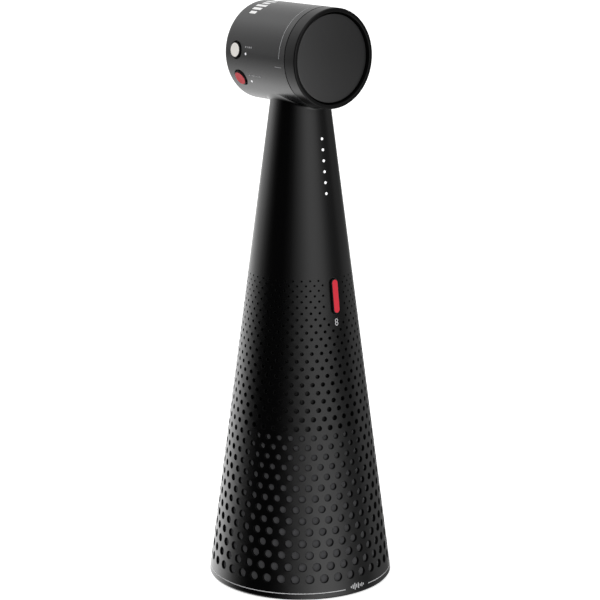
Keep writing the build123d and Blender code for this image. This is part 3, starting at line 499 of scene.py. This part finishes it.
def woven_cloth(name, colour, threads):
    """Plain weave that runs round and up the sleeve, with a little colour drift."""
    material = bpy.data.materials.new(name)
    material.use_nodes = True
    tree = material.node_tree
    node, link = tree.nodes.new, tree.links.new
    surface = tree.nodes["Principled BSDF"]
    surface.inputs["Roughness"].default_value = 0.85
    surface.inputs["Sheen Weight"].default_value = 0.25
    place = node("ShaderNodeTexCoord")
    split = node("ShaderNodeSeparateXYZ")
    link(place.outputs["Object"], split.inputs[0])
    around = node("ShaderNodeMath")
    around.operation = "ARCTAN2"
    link(split.outputs["X"], around.inputs[0])
    link(split.outputs["Y"], around.inputs[1])
    waves = []
    for source, scale in ((around.outputs[0], threads * 42 * MM), (split.outputs["Z"], threads)):
        turned = node("ShaderNodeMath")
        turned.operation = "MULTIPLY"
        turned.inputs[1].default_value = scale
        link(source, turned.inputs[0])
        wave = node("ShaderNodeMath")
        wave.operation = "SINE"
        link(turned.outputs[0], wave.inputs[0])
        waves.append(wave)
    cross = node("ShaderNodeMath")
    cross.operation = "MULTIPLY"
    link(waves[0].outputs[0], cross.inputs[0])
    link(waves[1].outputs[0], cross.inputs[1])
    tones = node("ShaderNodeMapRange")
    tones.inputs["From Min"].default_value = -1
    link(cross.outputs[0], tones.inputs["Value"])
    ramp = node("ShaderNodeMix")
    ramp.data_type = "RGBA"
    ramp.inputs["A"].default_value = (*[c * 0.55 for c in colour], 1)
    ramp.inputs["B"].default_value = (*[c * 1.35 for c in colour], 1)
    link(tones.outputs["Result"], ramp.inputs["Factor"])
    link(ramp.outputs["Result"], surface.inputs["Base Color"])
    bump_node = node("ShaderNodeBump")
    bump_node.inputs["Strength"].default_value = 0.6
    bump_node.inputs["Distance"].default_value = 0.08 * MM
    link(tones.outputs["Result"], bump_node.inputs["Height"])
    link(bump_node.outputs["Normal"], surface.inputs["Normal"])
    return material


charcoal_cloth = woven_cloth("charcoal_cloth", (0.058, 0.058, 0.061), 16000)
finish(cloth, charcoal_cloth, "housing", "cloth", "acoustic_cloth")


def dress(material, *names):
    """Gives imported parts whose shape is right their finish."""
    for name in names:
        nodes[name].data.materials.clear()
        nodes[name].data.materials.append(material)


black_film = moulded("black_film", (0.002, 0.002, 0.0022), 0.55, grain=900, depth=0.03, smudge=0.1)
dress(black_film, "grille_backing")

# ---- Head tube ------------------------------------------------------------------------------
# The head is a short horizontal tube in grey satin plastic, with a large soft edge at its rear
# and two round button holes and two tiny light holes on its left side.

BUTTON_BACK = 20.4 * MM
BUTTON_ANGLES = {"white": radians(4.6), "red": radians(-29.1)}
BUTTON_HOLE = 4.65 * MM
STATUS_BACK = 12.35 * MM
STATUS_DROP = radians(3.1)
STATUS_HOLE = 0.67 * MM


def turned_piece(name, outline, sides=128):
    """Turns an outline of (radius, distance) points round the head's axis, ring by ring."""
    bpy.ops.object.select_all(action="DESELECT")
    first_radius, first = outline[0]
    bpy.ops.mesh.primitive_circle_add(vertices=sides, radius=max(first_radius, 0.01), fill_type="NOTHING")
    piece = bpy.context.object
    piece.name = name
    work_on(piece, "EDIT")
    bpy.ops.mesh.select_all(action="SELECT")

    def ring(radius, distance):
        def placed(co):
            flat = Vector((co.x, co.y, 0)).normalized()
            return Vector((flat.x * max(radius, 1e-5), flat.y * max(radius, 1e-5), distance))
        return placed

    place_chosen(piece, ring(first_radius * MM, first * MM))
    for radius, distance in outline[1:]:
        extrude_ring(piece, ring(radius * MM, distance * MM))
    bpy.ops.mesh.select_all(action="SELECT")
    bpy.ops.mesh.remove_doubles(threshold=0.02 * MM)
    bpy.ops.mesh.normals_make_consistent(inside=False)
    bpy.ops.object.mode_set(mode="OBJECT")
    return piece


def soften(piece, size, segments, *rings):
    """Rounds the circular edges that lie at each (radius, distance)."""
    work_on(piece, "EDIT")

    def is_on_ring(vert, radius, distance):
        off_radius = abs(hypot(vert.co.x, vert.co.y) - radius * MM)
        return off_radius < NEARLY and abs(vert.co.z - distance * MM) < NEARLY

    def is_there(edge):
        return any(all(is_on_ring(vert, *ring) for vert in edge.verts) for ring in rings)

    choose(piece, "edges", is_there)
    bpy.ops.mesh.bevel(offset=size * MM, segments=segments, affect="EDGES")
    bpy.ops.object.mode_set(mode="OBJECT")


ALONG_HEAD = looking((0, 0, HEAD_HEIGHT), (-1, 0, 0), (0, 1, 0))


def head_place(back, angle):
    """On the left side of the head's outside, z outwards."""
    outward = Vector((-cos(angle), 0, sin(angle)))
    origin = Vector((0, back, HEAD_HEIGHT)) + outward * HEAD_RADIUS
    return looking(origin, (0, -1, 0), outward)


head_tube = turned_piece(
    "head_casing",
    [
        (25, -18.8), (25, -5), (25, 10), (25, 30.3), (22.8, 30.3), (22.8, 27), (23.4, 27), (23.4, -18.8),
        (25, -18.8),
    ],
)
soften(head_tube, 1.8, 6, (25, 30.3))
soften(head_tube, 0.25, 2, (25, -18.8), (22.8, 30.3))
seat(head_tube, ALONG_HEAD)
cutters = [rod("neck_cut", 13.5 * MM, HEAD_HEIGHT - 30 * MM, HEAD_HEIGHT - 15 * MM, 64)]
for angle in BUTTON_ANGLES.values():
    button_cut = rod("button_cut", BUTTON_HOLE, -4 * MM, 2 * MM, 48)
    cutters.append(seat(button_cut, head_place(BUTTON_BACK, angle)))
    status_cut = rod("light_cut", STATUS_HOLE, -4 * MM, 2 * MM, 20)
    cutters.append(seat(status_cut, head_place(STATUS_BACK, angle - STATUS_DROP)))
cut_away(head_tube, cutters)
head_grey = moulded("head_grey", (0.0080, 0.0081, 0.0085), 0.26, grain=2200, depth=0.012, smudge=0.05)
finish(head_tube, head_grey, "housing", "head_grey", "head_tube")

# ---- Rear disc ------------------------------------------------------------------------------
# A shallow grey disc snaps into the back of the head. It has four pinholes for microphones.

rear_disc = turned_piece(
    "rear_cover",
    [
        (0, 27.4), (21, 27.4), (21, 26.4), (23.2, 26.4), (23.2, 26.95), (22.25, 26.95), (22.25, 29.1),
        (18, 29.3), (10, 29.45), (0, 29.5),
    ],
)
soften(rear_disc, 0.4, 4, (22.25, 29.1))
PINHOLE = 0.6 * MM
PINHOLE_CIRCLE = 12 * MM
cutters = []
for i in range(4):
    turn = radians(45 + 90 * i)
    pinhole = rod("microphone_cut", PINHOLE, 26 * MM, 31 * MM, 20)
    place = Matrix.Translation((PINHOLE_CIRCLE * cos(turn), PINHOLE_CIRCLE * sin(turn), 0))
    cutters.append(seat(pinhole, place))
cut_away(rear_disc, cutters)
seat(rear_disc, ALONG_HEAD)
rear_grey = moulded("rear_grey", (0.006, 0.006, 0.0063), 0.42, grain=2200, depth=0.02, smudge=0.06)
finish(rear_disc, rear_grey, "housing", "cap_grey", "rear_disc")

# ---- Volume knob ----------------------------------------------------------------------------
# A graphite ring as wide as the head turns without a stop on the boss behind it. The inner wall
# of its mouth, round the disc, is left dull.

knob = turned_piece(
    "volume_ring",
    [
        (22.8, -21.9), (22.8, -26.75), (24.95, -26.75), (24.95, -19.1), (23.1, -19.1), (23.1, -20.5),
        (19.8, -20.5), (19.8, -21.9), (22.8, -21.9),
    ],
    sides=160,
)
soften(knob, 0.8, 5, (24.95, -26.75))
soften(knob, 0.3, 3, (22.8, -26.75), (24.95, -19.1))
seat(knob, ALONG_HEAD)
knob_graphite = moulded(
    "knob_graphite", (0.0020, 0.0020, 0.0022), 0.30,
    grain=2200, depth=0.012, smudge=0.05, Specular_IOR_Level=0.24,
)
finish(knob, knob_graphite, "volume_knob", "knob_graphite", "knob_ring")
KNOB_MOUTH = 22.85 * MM
second_finish(knob, hole_black, lambda face: hypot(face.center.x, face.center.z - HEAD_HEIGHT) < KNOB_MOUTH)

# ---- Centre disc ----------------------------------------------------------------------------
# The domed disc inside the ring is one wide push button, in fine satin graphite.

disc = turned_piece(
    "press_disc",
    [
        (0, -26.30), (2.5, -26.29), (5, -26.25), (7.5, -26.18), (10, -26.08), (12.5, -25.95), (15, -25.79),
        (17.5, -25.61), (20, -25.39), (22, -25.20), (22, -24), (16.3, -24), (16.3, -19.6), (14.9, -19.6),
        (14.9, -24), (1.6, -24), (1.6, -18.7), (0, -18.7),
    ],
    sides=160,
)
soften(disc, 0.35, 4, (22, -25.20))
seat(disc, ALONG_HEAD)
disc_graphite = moulded(
    "disc_graphite", (0.0070, 0.0070, 0.0074), 0.30,
    grain=2400, depth=0.01, smudge=0.04, Specular_IOR_Level=1.0,
)
finish(disc, disc_graphite, "mute_disc", "disc_graphite", "centre_disc", smooth=30)

# ---- Call buttons ---------------------------------------------------------------------------
# Two small round buttons stand in wells on the left of the head. Each is moulded in black with
# its flange and stem, and a white or a red inlay with a faintly dished face is bonded on top.

INLAY = 3.5 * MM
# black for the call buttons' bodies, and painted shade on the pairing cap's rim and sides
button_black_and_painted_shade = moulded(
    "button_black_and_painted_shade", (0.0025, 0.0025, 0.0026), 0.45, smudge=0.05, Specular_IOR_Level=0.3
)
button_white = moulded("button_white", (0.94, 0.91, 0.86), 0.38, depth=0.01, smudge=0.05)
button_red = moulded(
    "button_red", (0.62, 0.022, 0.036), 0.45, depth=0.01, smudge=0.05, Specular_IOR_Level=0.2
)
button_finishes = {
    "white": (button_white, "call_button", "button_white", "white_button"),
    "red": (button_red, "end_button", "button_red", "red_button"),
}
for colour, angle in BUTTON_ANGLES.items():
    cap = turned_piece(
        f"{colour}_cap",
        [
            (0, 0.63), (1.2, 0.64), (2.2, 0.68), (3.0, 0.74), (3.5, 0.75), (3.53, 0.66), (3.58, 0.66),
            (3.7, 0.60), (3.8, 0.42), (3.8, -3.1), (4.5, -3.1), (4.5, -3.9), (1, -3.9), (1, -5.7), (0, -5.7),
        ],
        sides=96,
    )
    soften(cap, 0.1, 2, (3.5, 0.75))
    place = head_place(BUTTON_BACK, angle)
    seat(cap, place)
    finish(cap, *button_finishes[colour])
    centre, outward = place.translation, place.col[2].xyz

    def is_below_inlay(face):
        offset = face.center - centre
        height = offset.dot(outward)
        return height < 0 or (offset - outward * height).length > INLAY

    second_finish(cap, button_black_and_painted_shade, is_below_inlay)

# ---- Pairing key ----------------------------------------------------------------------------
# A pill-shaped cap with a red face is bonded on a carrier that slides in the cone's slot.
# Its rounded rim and sides are coloured black as painted shade, standing for red sides in shadow.

PILL_WIDTH = 4.2 * MM
PILL_LENGTH = 17.6 * MM
PILL_PROUD = 1.1 * MM
red_cap = pill_block("pairing_red_cap", PILL_WIDTH, PILL_LENGTH, -0.5 * MM, PILL_PROUD)
work_on(red_cap, "EDIT")
choose(red_cap, "edges", lambda e: all(abs(v.co.z - PILL_PROUD) < NEARLY for v in e.verts))
bpy.ops.mesh.bevel(offset=0.45 * MM, segments=5)
choose(red_cap, "faces", lambda f: f.normal.z > 0.9 and f.calc_center_median().z > PILL_PROUD - 0.05 * MM)
bpy.ops.mesh.inset(thickness=0.08 * MM, depth=0.0)
bpy.ops.mesh.inset(thickness=0.05 * MM, depth=0.04 * MM)
bpy.ops.object.mode_set(mode="OBJECT")
top_faces = {face.index for face in red_cap.data.polygons if face.select}
seat(red_cap, slot_place)
cap_red = moulded("cap_red", (0.66, 0.030, 0.050), 0.35, depth=0.01, smudge=0.05, Specular_IOR_Level=0.35)
finish(red_cap, cap_red, "pairing_key", "cap_red", "pairing_cap")
# painted shade: the cap's rim and sides take the black button finish instead of red
second_finish(red_cap, button_black_and_painted_shade, lambda face: face.index not in top_faces)
carrier_black = moulded("carrier_black", (0.003, 0.003, 0.003), 0.45, smudge=0.06)
dress(carrier_black, "pairing_button", "button_frame", "button_carrier", "front_bulkhead", "knob_retainer")

# ---- Lights ---------------------------------------------------------------------------------
# Six clear pins of one light guide fill the holes above the key, and two thin pipes end beside
# the call buttons. They are milky white where they are seen, with a faint painted glow on top.

light_milk_painted_glow = moulded("light_milk_painted_glow", (0.90, 0.91, 0.93), 0.25, depth=0.005, smudge=0.03)
milk_surface_painted_glow = light_milk_painted_glow.node_tree.nodes["Principled BSDF"]
# painted glow: the pins emit a faint light of their own, though no lamp lights them
milk_surface_painted_glow.inputs["Emission Color"].default_value = (1, 1, 1, 1)
milk_surface_painted_glow.inputs["Emission Strength"].default_value = 0.35
dress(light_milk_painted_glow, "light_guide", "status_pipes", "light_chips")

# ---- Foot and base --------------------------------------------------------------------------
# A soft rubber ring in a groove of the base plate carries the object; four screws hold the plate.

foot = turned_piece("foot_ring", [(37, 1.8), (37, 0), (43.5, 0), (43.5, 1.8), (37, 1.8)])
soften(foot, 0.4, 3, (37, 0), (43.5, 0))
foot_rubber = moulded("foot_rubber", (0.018, 0.018, 0.019), 0.75, grain=1400, depth=0.05, smudge=0.15)
finish(foot, foot_rubber, "housing", "foot_rubber", "rubber_foot")
inner_black = moulded("inner_black", (0.022, 0.022, 0.023), 0.55, grain=1500, depth=0.03, smudge=0.1)
dress(
    inner_black, "base_plate", "sound_deflector", "speaker_cabinet", "speaker_baffle", "inner_frame",
    "battery_bracket", "neck_bracket",
)
zinc = moulded("zinc", (0.62, 0.62, 0.63), 0.32, grain=3000, depth=0.01, smudge=0.15, Metallic=1.0)
dress(zinc, "base_screws", "driver_screws", "frame_screws", "board_screws", "neck_screws")

# ---- Sockets --------------------------------------------------------------------------------
# A recessed grey panel at the back frames two audio sockets and one power socket.

panel_grey = moulded("panel_grey", (0.010, 0.010, 0.0105), 0.45, grain=1800, depth=0.02, smudge=0.06)
dress(panel_grey, "port_panel")
socket_black = moulded("socket_black", (0.012, 0.012, 0.012), 0.4, smudge=0.05)
dress(
    socket_black, "audio_in_jack", "audio_out_jack", "board_parts", "mute_switch", "side_switches",
    "pairing_switch",
)
tin = moulded("tin", (0.66, 0.65, 0.62), 0.3, grain=3000, depth=0.01, smudge=0.12, Metallic=1.0)
dress(tin, "usb_socket", "radio_shield", "driver_basket", "mic_capsules")

# ---- Works inside ---------------------------------------------------------------------------
# Boards, driver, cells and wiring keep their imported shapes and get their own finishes.

board_green = moulded("board_green", (0.012, 0.075, 0.030), 0.3, grain=600, depth=0.02, smudge=0.1)
dress(
    board_green, "port_board", "main_board", "pairing_board", "light_board", "mic_board", "side_boards",
    "front_board",
)
roll_rubber = moulded("roll_rubber", (0.02, 0.02, 0.02), 0.5, grain=1600, depth=0.02, smudge=0.1)
dress(roll_rubber, "driver_surround", "left_radiator", "right_radiator", "mic_gasket", "head_cable")
paper = moulded("pressed_paper", (0.05, 0.05, 0.05), 0.9, grain=900, depth=0.1, smudge=0.2)
dress(paper, "driver_cone")
coil_copper = moulded(
    "coil_copper", (0.72, 0.33, 0.17), 0.3, grain=3000, depth=0.02, smudge=0.1, Metallic=1.0
)
dress(coil_copper, "voice_coil")
magnet_nickel = moulded(
    "magnet_nickel", (0.45, 0.45, 0.46), 0.35, grain=2500, depth=0.02, smudge=0.15, Metallic=1.0
)
dress(magnet_nickel, "driver_magnet", "encoder_magnet")
cell_blue = moulded("cell_blue", (0.05, 0.14, 0.30), 0.3, grain=500, depth=0.02, smudge=0.1)
dress(cell_blue, "left_battery_cell", "right_battery_cell")

# ---- Printed marks --------------------------------------------------------------------------
# Fine lines and small symbols in light grey ink: a line round the foot of the cone with sound
# bars in its gap, linked rings under the pairing key, and a volume arc with its signs on the head.

INK = 0.02 * MM


def inked(name, wide, tall, steps_across, steps_up, placed):
    """A film of ink: a flat grid bent onto the surface by placed(across, up)."""
    bpy.ops.object.select_all(action="DESELECT")
    bpy.ops.mesh.primitive_grid_add(x_subdivisions=steps_across, y_subdivisions=steps_up, size=1)
    film = bpy.context.object
    film.name = name
    work_on(film, "EDIT")
    bpy.ops.mesh.select_all(action="SELECT")
    place_chosen(film, lambda co: placed(co.x * wide, co.y * tall))
    bpy.ops.object.mode_set(mode="OBJECT")
    return film


def cone_ink(name, angle, height, wide, tall, steps=4):
    """Ink on the cone, its middle at that angle from the front and that height."""
    def placed(across, up):
        return on_cone(angle + across / cone_radius(height), height + up, INK)
    return inked(name, wide, tall, steps, 1, placed)


def head_ink(name, back, turn, long, across, steps=4):
    """Ink on the head; turn is measured over the top from the left side."""
    def placed(u, v):
        angle = turn + v / HEAD_RADIUS
        radius = HEAD_RADIUS + INK
        return Vector((-radius * cos(angle), back + u, HEAD_HEIGHT + radius * sin(angle)))
    return inked(name, long, across, 1, steps, placed)


LINE_HEIGHT = 3.95 * MM
GAP = radians(9.2)
line_length = (2 * pi - 2 * GAP) * cone_radius(LINE_HEIGHT)
shell_marks = [cone_ink("foot_line", pi, LINE_HEIGHT, line_length, 0.35 * MM, 200)]
for i, tall in enumerate((1.0, 2.2, 3.4, 1.8, 2.8, 1.3, 2.0, 0.9)):
    shell_marks.append(cone_ink("sound_bar", radians(-4.9 + 1.4 * i), 4.6 * MM, 0.55 * MM, tall * MM, 1))
LINK_RADIUS = 1.0 * MM
LINK_OFFSET = 0.8 * MM
LINK_HOLE_SHARE = 0.58
for middle in (PAIR_MARK_HEIGHT - LINK_OFFSET, PAIR_MARK_HEIGHT + LINK_OFFSET):
    bpy.ops.object.select_all(action="DESELECT")
    bpy.ops.mesh.primitive_circle_add(vertices=32, radius=LINK_RADIUS, fill_type="NOTHING")
    link_ring = bpy.context.object
    work_on(link_ring, "EDIT")
    bpy.ops.mesh.select_all(action="SELECT")
    extrude_ring(link_ring, lambda co: co * LINK_HOLE_SHARE)
    bpy.ops.mesh.select_all(action="SELECT")
    place_chosen(link_ring, lambda co: on_cone(co.x / cone_radius(PAIR_MARK_HEIGHT), middle + co.y, INK))
    bpy.ops.object.mode_set(mode="OBJECT")
    shell_marks.append(link_ring)
shell_marks = joined(shell_marks, "shell_ink")

SIGN_BACK = -13.6 * MM
SIGN_LENGTH = 5.2 * MM
SIGN_STROKE = 0.32 * MM
DASH_TALL = 0.8 * MM
plus_turn = radians(188.5)
head_marks = [
    head_ink("volume_arc", -14.5 * MM, radians(90), 0.36 * MM, radians(178) * HEAD_RADIUS, 90),
    head_ink("minus_sign", SIGN_BACK, radians(-8.5), SIGN_LENGTH, SIGN_STROKE, 1),
    head_ink("plus_sign", SIGN_BACK, plus_turn, SIGN_LENGTH, SIGN_STROKE, 1),
    head_ink("plus_sign", SIGN_BACK, plus_turn, SIGN_STROKE, SIGN_LENGTH, 4),
]
for i, long in enumerate((1.0, 0.5, 1.3, 0.7)):
    head_marks.append(head_ink("call_dash", (12.6 - 1.5 * i) * MM, radians(9.4), long * MM, DASH_TALL, 2))
for i, long in enumerate((0.9, 0.5, 1.1, 0.6, 1.0, 0.5, 0.9)):
    head_marks.append(head_ink("end_dash", (11.8 - 1.4 * i) * MM, radians(-24), long * MM, DASH_TALL, 2))
head_marks = joined(head_marks, "head_ink")
bold_marks = []
for i, long in enumerate((5.0, 6.8, 8.2, 5.4, 7.4, 4.2, 7.4, 5.4, 8.2, 6.8, 5.0)):
    bold_marks.append(head_ink("wave_bar", 19.4 * MM, radians(54 + 7.2 * i), long * MM, 1.9 * MM, 3))
bold_marks = joined(bold_marks, "head_wave_ink")
ink_light = moulded("ink_light", (0.52, 0.52, 0.53), 0.5, grain=3000, depth=0.005, smudge=0.05)
ink_grey = moulded("ink_grey", (0.30, 0.30, 0.31), 0.5, grain=3000, depth=0.005, smudge=0.05)
ink_white = moulded("ink_white", (0.92, 0.92, 0.92), 0.5, grain=3000, depth=0.005, smudge=0.05)
for marks, ink, slot in (
    (shell_marks, ink_light, "shell_black"),
    (head_marks, ink_grey, "head_grey"),
    (bold_marks, ink_white, "head_grey"),
):
    work_on(marks, "EDIT")
    bpy.ops.mesh.select_all(action="SELECT")
    bpy.ops.mesh.normals_make_consistent(inside=False)
    bpy.ops.object.mode_set(mode="OBJECT")
    apply_modifier(marks, "SOLIDIFY", thickness=1.5 * INK, offset=-1)
    finish(marks, ink, "housing", slot)

# ---- Floor, camera and lights ---------------------------------------------------------------
# A white floor, one long lens, and a studio of light and dark panels all round.


def from_target(azimuth, elevation, distance, height):
    """A point at that direction from the object's axis; azimuth 0 is in front."""
    a, e = radians(azimuth), radians(elevation)
    return Vector((sin(a) * cos(e), -cos(a) * cos(e), sin(e))) * distance + Vector((0, 0, height))


AIM_HEIGHT = 0.14633
VIEW_AZIMUTH = -38.47
VIEW_ELEVATION = 13.327
VIEW_DISTANCE = 1.0621
VIEW_LENS = 123.63
VIEW_SHIFT = (-0.00033, 0.0006)
bpy.ops.object.camera_add(location=from_target(VIEW_AZIMUTH, VIEW_ELEVATION, VIEW_DISTANCE, AIM_HEIGHT))
camera = bpy.context.object
camera.name = "view_camera"
camera.rotation_euler = (Vector((0, 0, AIM_HEIGHT)) - camera.location).to_track_quat("-Z", "Y").to_euler()
camera.data.sensor_width = 36
camera.data.lens = VIEW_LENS
camera.data.shift_x, camera.data.shift_y = VIEW_SHIFT
camera.data.clip_start = 0.05
camera.data.clip_end = 50
bpy.context.scene.camera = camera


# The studio round the object, as brightness by direction from the view: white behind, a black
# flag at the front left and a soft panel at the front right.
PANELS = (
    (-180, 0.85), (-150, 1.15), (-131, 1.55), (-112, 1.15), (-95, 0.38), (-81, 0.06), (-70, 0.0), (-38, 0.0),
    (-22, 0.08), (-8, 0.39), (4, 0.7), (15, 1.03), (25, 1.23), (38, 1.22), (52, 0.98), (66, 0.48), (78, 0.22),
    (95, 0.15), (112, 0.27), (131, 0.2), (150, 0.12), (165, 0.35), (180, 0.85),
)
BRIGHTEST = 1.55
CEILING = 1.0
CEILING_FROM = 0.68
CEILING_FULL = 0.85


def studio_panels():
    """Shared group: the panels' brightness in a direction, as a share of the brightest."""
    group = bpy.data.node_groups.new("studio_panels", "ShaderNodeTree")
    group.interface.new_socket("Direction", in_out="INPUT", socket_type="NodeSocketVector")
    group.interface.new_socket("Brightness", in_out="OUTPUT", socket_type="NodeSocketColor")
    node, link = group.nodes.new, group.links.new
    split = node("ShaderNodeSeparateXYZ")
    link(node("NodeGroupInput").outputs[0], split.inputs[0])
    flipped = node("ShaderNodeMath")
    flipped.operation = "MULTIPLY"
    flipped.inputs[1].default_value = -1
    link(split.outputs["Y"], flipped.inputs[0])
    around = node("ShaderNodeMath")
    around.operation = "ARCTAN2"
    link(split.outputs["X"], around.inputs[0])
    link(flipped.outputs[0], around.inputs[1])
    share = node("ShaderNodeMath")
    share.operation = "MULTIPLY_ADD"
    share.inputs[1].default_value = 1 / (2 * pi)
    share.inputs[2].default_value = 0.5 - VIEW_AZIMUTH / 360
    link(around.outputs[0], share.inputs[0])
    wrapped = node("ShaderNodeMath")
    wrapped.operation = "FRACT"
    link(share.outputs[0], wrapped.inputs[0])
    panels = node("ShaderNodeValToRGB")
    stops = panels.color_ramp.elements
    while len(stops) < len(PANELS):
        stops.new(0.5)
    for stop, (azimuth, _) in zip(stops, PANELS):
        stop.position = azimuth / 360 + 0.5
    for stop, (_, brightness) in zip(stops, PANELS):
        stop.color = (*[brightness / BRIGHTEST] * 3, 1)
    link(wrapped.outputs[0], panels.inputs["Fac"])
    link(panels.outputs["Color"], node("NodeGroupOutput").inputs[0])
    return group


STUDIO_PANELS = studio_panels()
world = bpy.data.worlds.new("studio")
bpy.context.scene.world = world
world.use_nodes = True
tree = world.node_tree
node, link = tree.nodes.new, tree.links.new
place = node("ShaderNodeTexCoord")
panels = node("ShaderNodeGroup")
panels.node_tree = STUDIO_PANELS
link(place.outputs["Generated"], panels.inputs[0])
split = node("ShaderNodeSeparateXYZ")
link(place.outputs["Generated"], split.inputs[0])
height = node("ShaderNodeMapRange")
height.interpolation_type = "SMOOTHSTEP"
height.inputs["From Min"].default_value = CEILING_FROM
height.inputs["From Max"].default_value = CEILING_FULL
link(split.outputs["Z"], height.inputs["Value"])
roof = node("ShaderNodeMix")
roof.data_type = "RGBA"
roof.inputs["B"].default_value = (*[CEILING / BRIGHTEST] * 3, 1)
link(height.outputs["Result"], roof.inputs["Factor"])
link(panels.outputs[0], roof.inputs["A"])
studio = tree.nodes["Background"]
studio.inputs["Strength"].default_value = BRIGHTEST
link(roof.outputs["Result"], studio.inputs["Color"])
backdrop = node("ShaderNodeBackground")
backdrop.inputs["Color"].default_value = (1, 1, 1, 1)
rays = node("ShaderNodeLightPath")
mix = node("ShaderNodeMixShader")
link(rays.outputs["Is Camera Ray"], mix.inputs["Fac"])
link(studio.outputs[0], mix.inputs[1])
link(backdrop.outputs[0], mix.inputs[2])
link(mix.outputs[0], tree.nodes["World Output"].inputs["Surface"])

# one large soft light above and beside the view that the gloss doesn't show
LIGHT_AIM = 0.2
bpy.ops.object.light_add(type="AREA", location=from_target(VIEW_AZIMUTH - 22, 28, 1.5, LIGHT_AIM))
soft_light = bpy.context.object
soft_light.name = "soft_light"
soft_light.data.size = 0.6
soft_light.data.energy = 9
light_aims = Vector((0, 0, LIGHT_AIM)) - soft_light.location
soft_light.rotation_euler = light_aims.to_track_quat("-Z", "Y").to_euler()
soft_light.visible_glossy = False

# the floor is white paper to the view; in the gloss it carries the panels on downwards, and
# fades with distance from a bright patch at the front right
FLOOR_GAIN = 1.3
BRIGHT_PATCH = (0.45, -0.20, 0)
FADE_FROM, FADE_TO = 0.5, 2.4
PATCH_SHARE, FAR_SHARE = 1.15, 0.5
bpy.ops.object.select_all(action="DESELECT")
bpy.ops.mesh.primitive_plane_add(size=12, location=(0, 0, 0))
floor = bpy.context.object
floor.name = "floor"
floor_paper = bpy.data.materials.new("floor_paper")
floor_paper.use_nodes = True
tree = floor_paper.node_tree
node, link = tree.nodes.new, tree.links.new
paper_white = tree.nodes["Principled BSDF"]
paper_white.inputs["Base Color"].default_value = (0.9, 0.9, 0.9, 1)
paper_white.inputs["Roughness"].default_value = 0.9
paper_white.inputs["Specular IOR Level"].default_value = 0.1
paper_white.inputs["Emission Color"].default_value = (1, 1, 1, 1)
paper_white.inputs["Emission Strength"].default_value = 0.7
place = node("ShaderNodeTexCoord")
panels = node("ShaderNodeGroup")
panels.node_tree = STUDIO_PANELS
arriving = node("ShaderNodeNewGeometry")
onward = node("ShaderNodeVectorMath")
onward.operation = "SCALE"
onward.inputs["Scale"].default_value = -1
link(arriving.outputs["Incoming"], onward.inputs[0])
link(onward.outputs["Vector"], panels.inputs[0])
away = node("ShaderNodeVectorMath")
away.operation = "DISTANCE"
away.inputs[1].default_value = BRIGHT_PATCH
link(place.outputs["Object"], away.inputs[0])
fading = node("ShaderNodeMapRange")
fading.inputs["From Min"].default_value = FADE_FROM
fading.inputs["From Max"].default_value = FADE_TO
fading.inputs["To Min"].default_value = PATCH_SHARE * BRIGHTEST * FLOOR_GAIN
fading.inputs["To Max"].default_value = FAR_SHARE * BRIGHTEST * FLOOR_GAIN
link(away.outputs["Value"], fading.inputs["Value"])
lit_paper = node("ShaderNodeEmission")
link(fading.outputs["Result"], lit_paper.inputs["Strength"])
link(panels.outputs[0], lit_paper.inputs["Color"])
rays = node("ShaderNodeLightPath")
mix = node("ShaderNodeMixShader")
link(rays.outputs["Is Camera Ray"], mix.inputs["Fac"])
link(lit_paper.outputs[0], mix.inputs[1])
link(paper_white.outputs[0], mix.inputs[2])
link(mix.outputs[0], tree.nodes["Material Output"].inputs["Surface"])
floor.data.materials.append(floor_paper)
bpy.context.scene.view_settings.view_transform = "Standard"
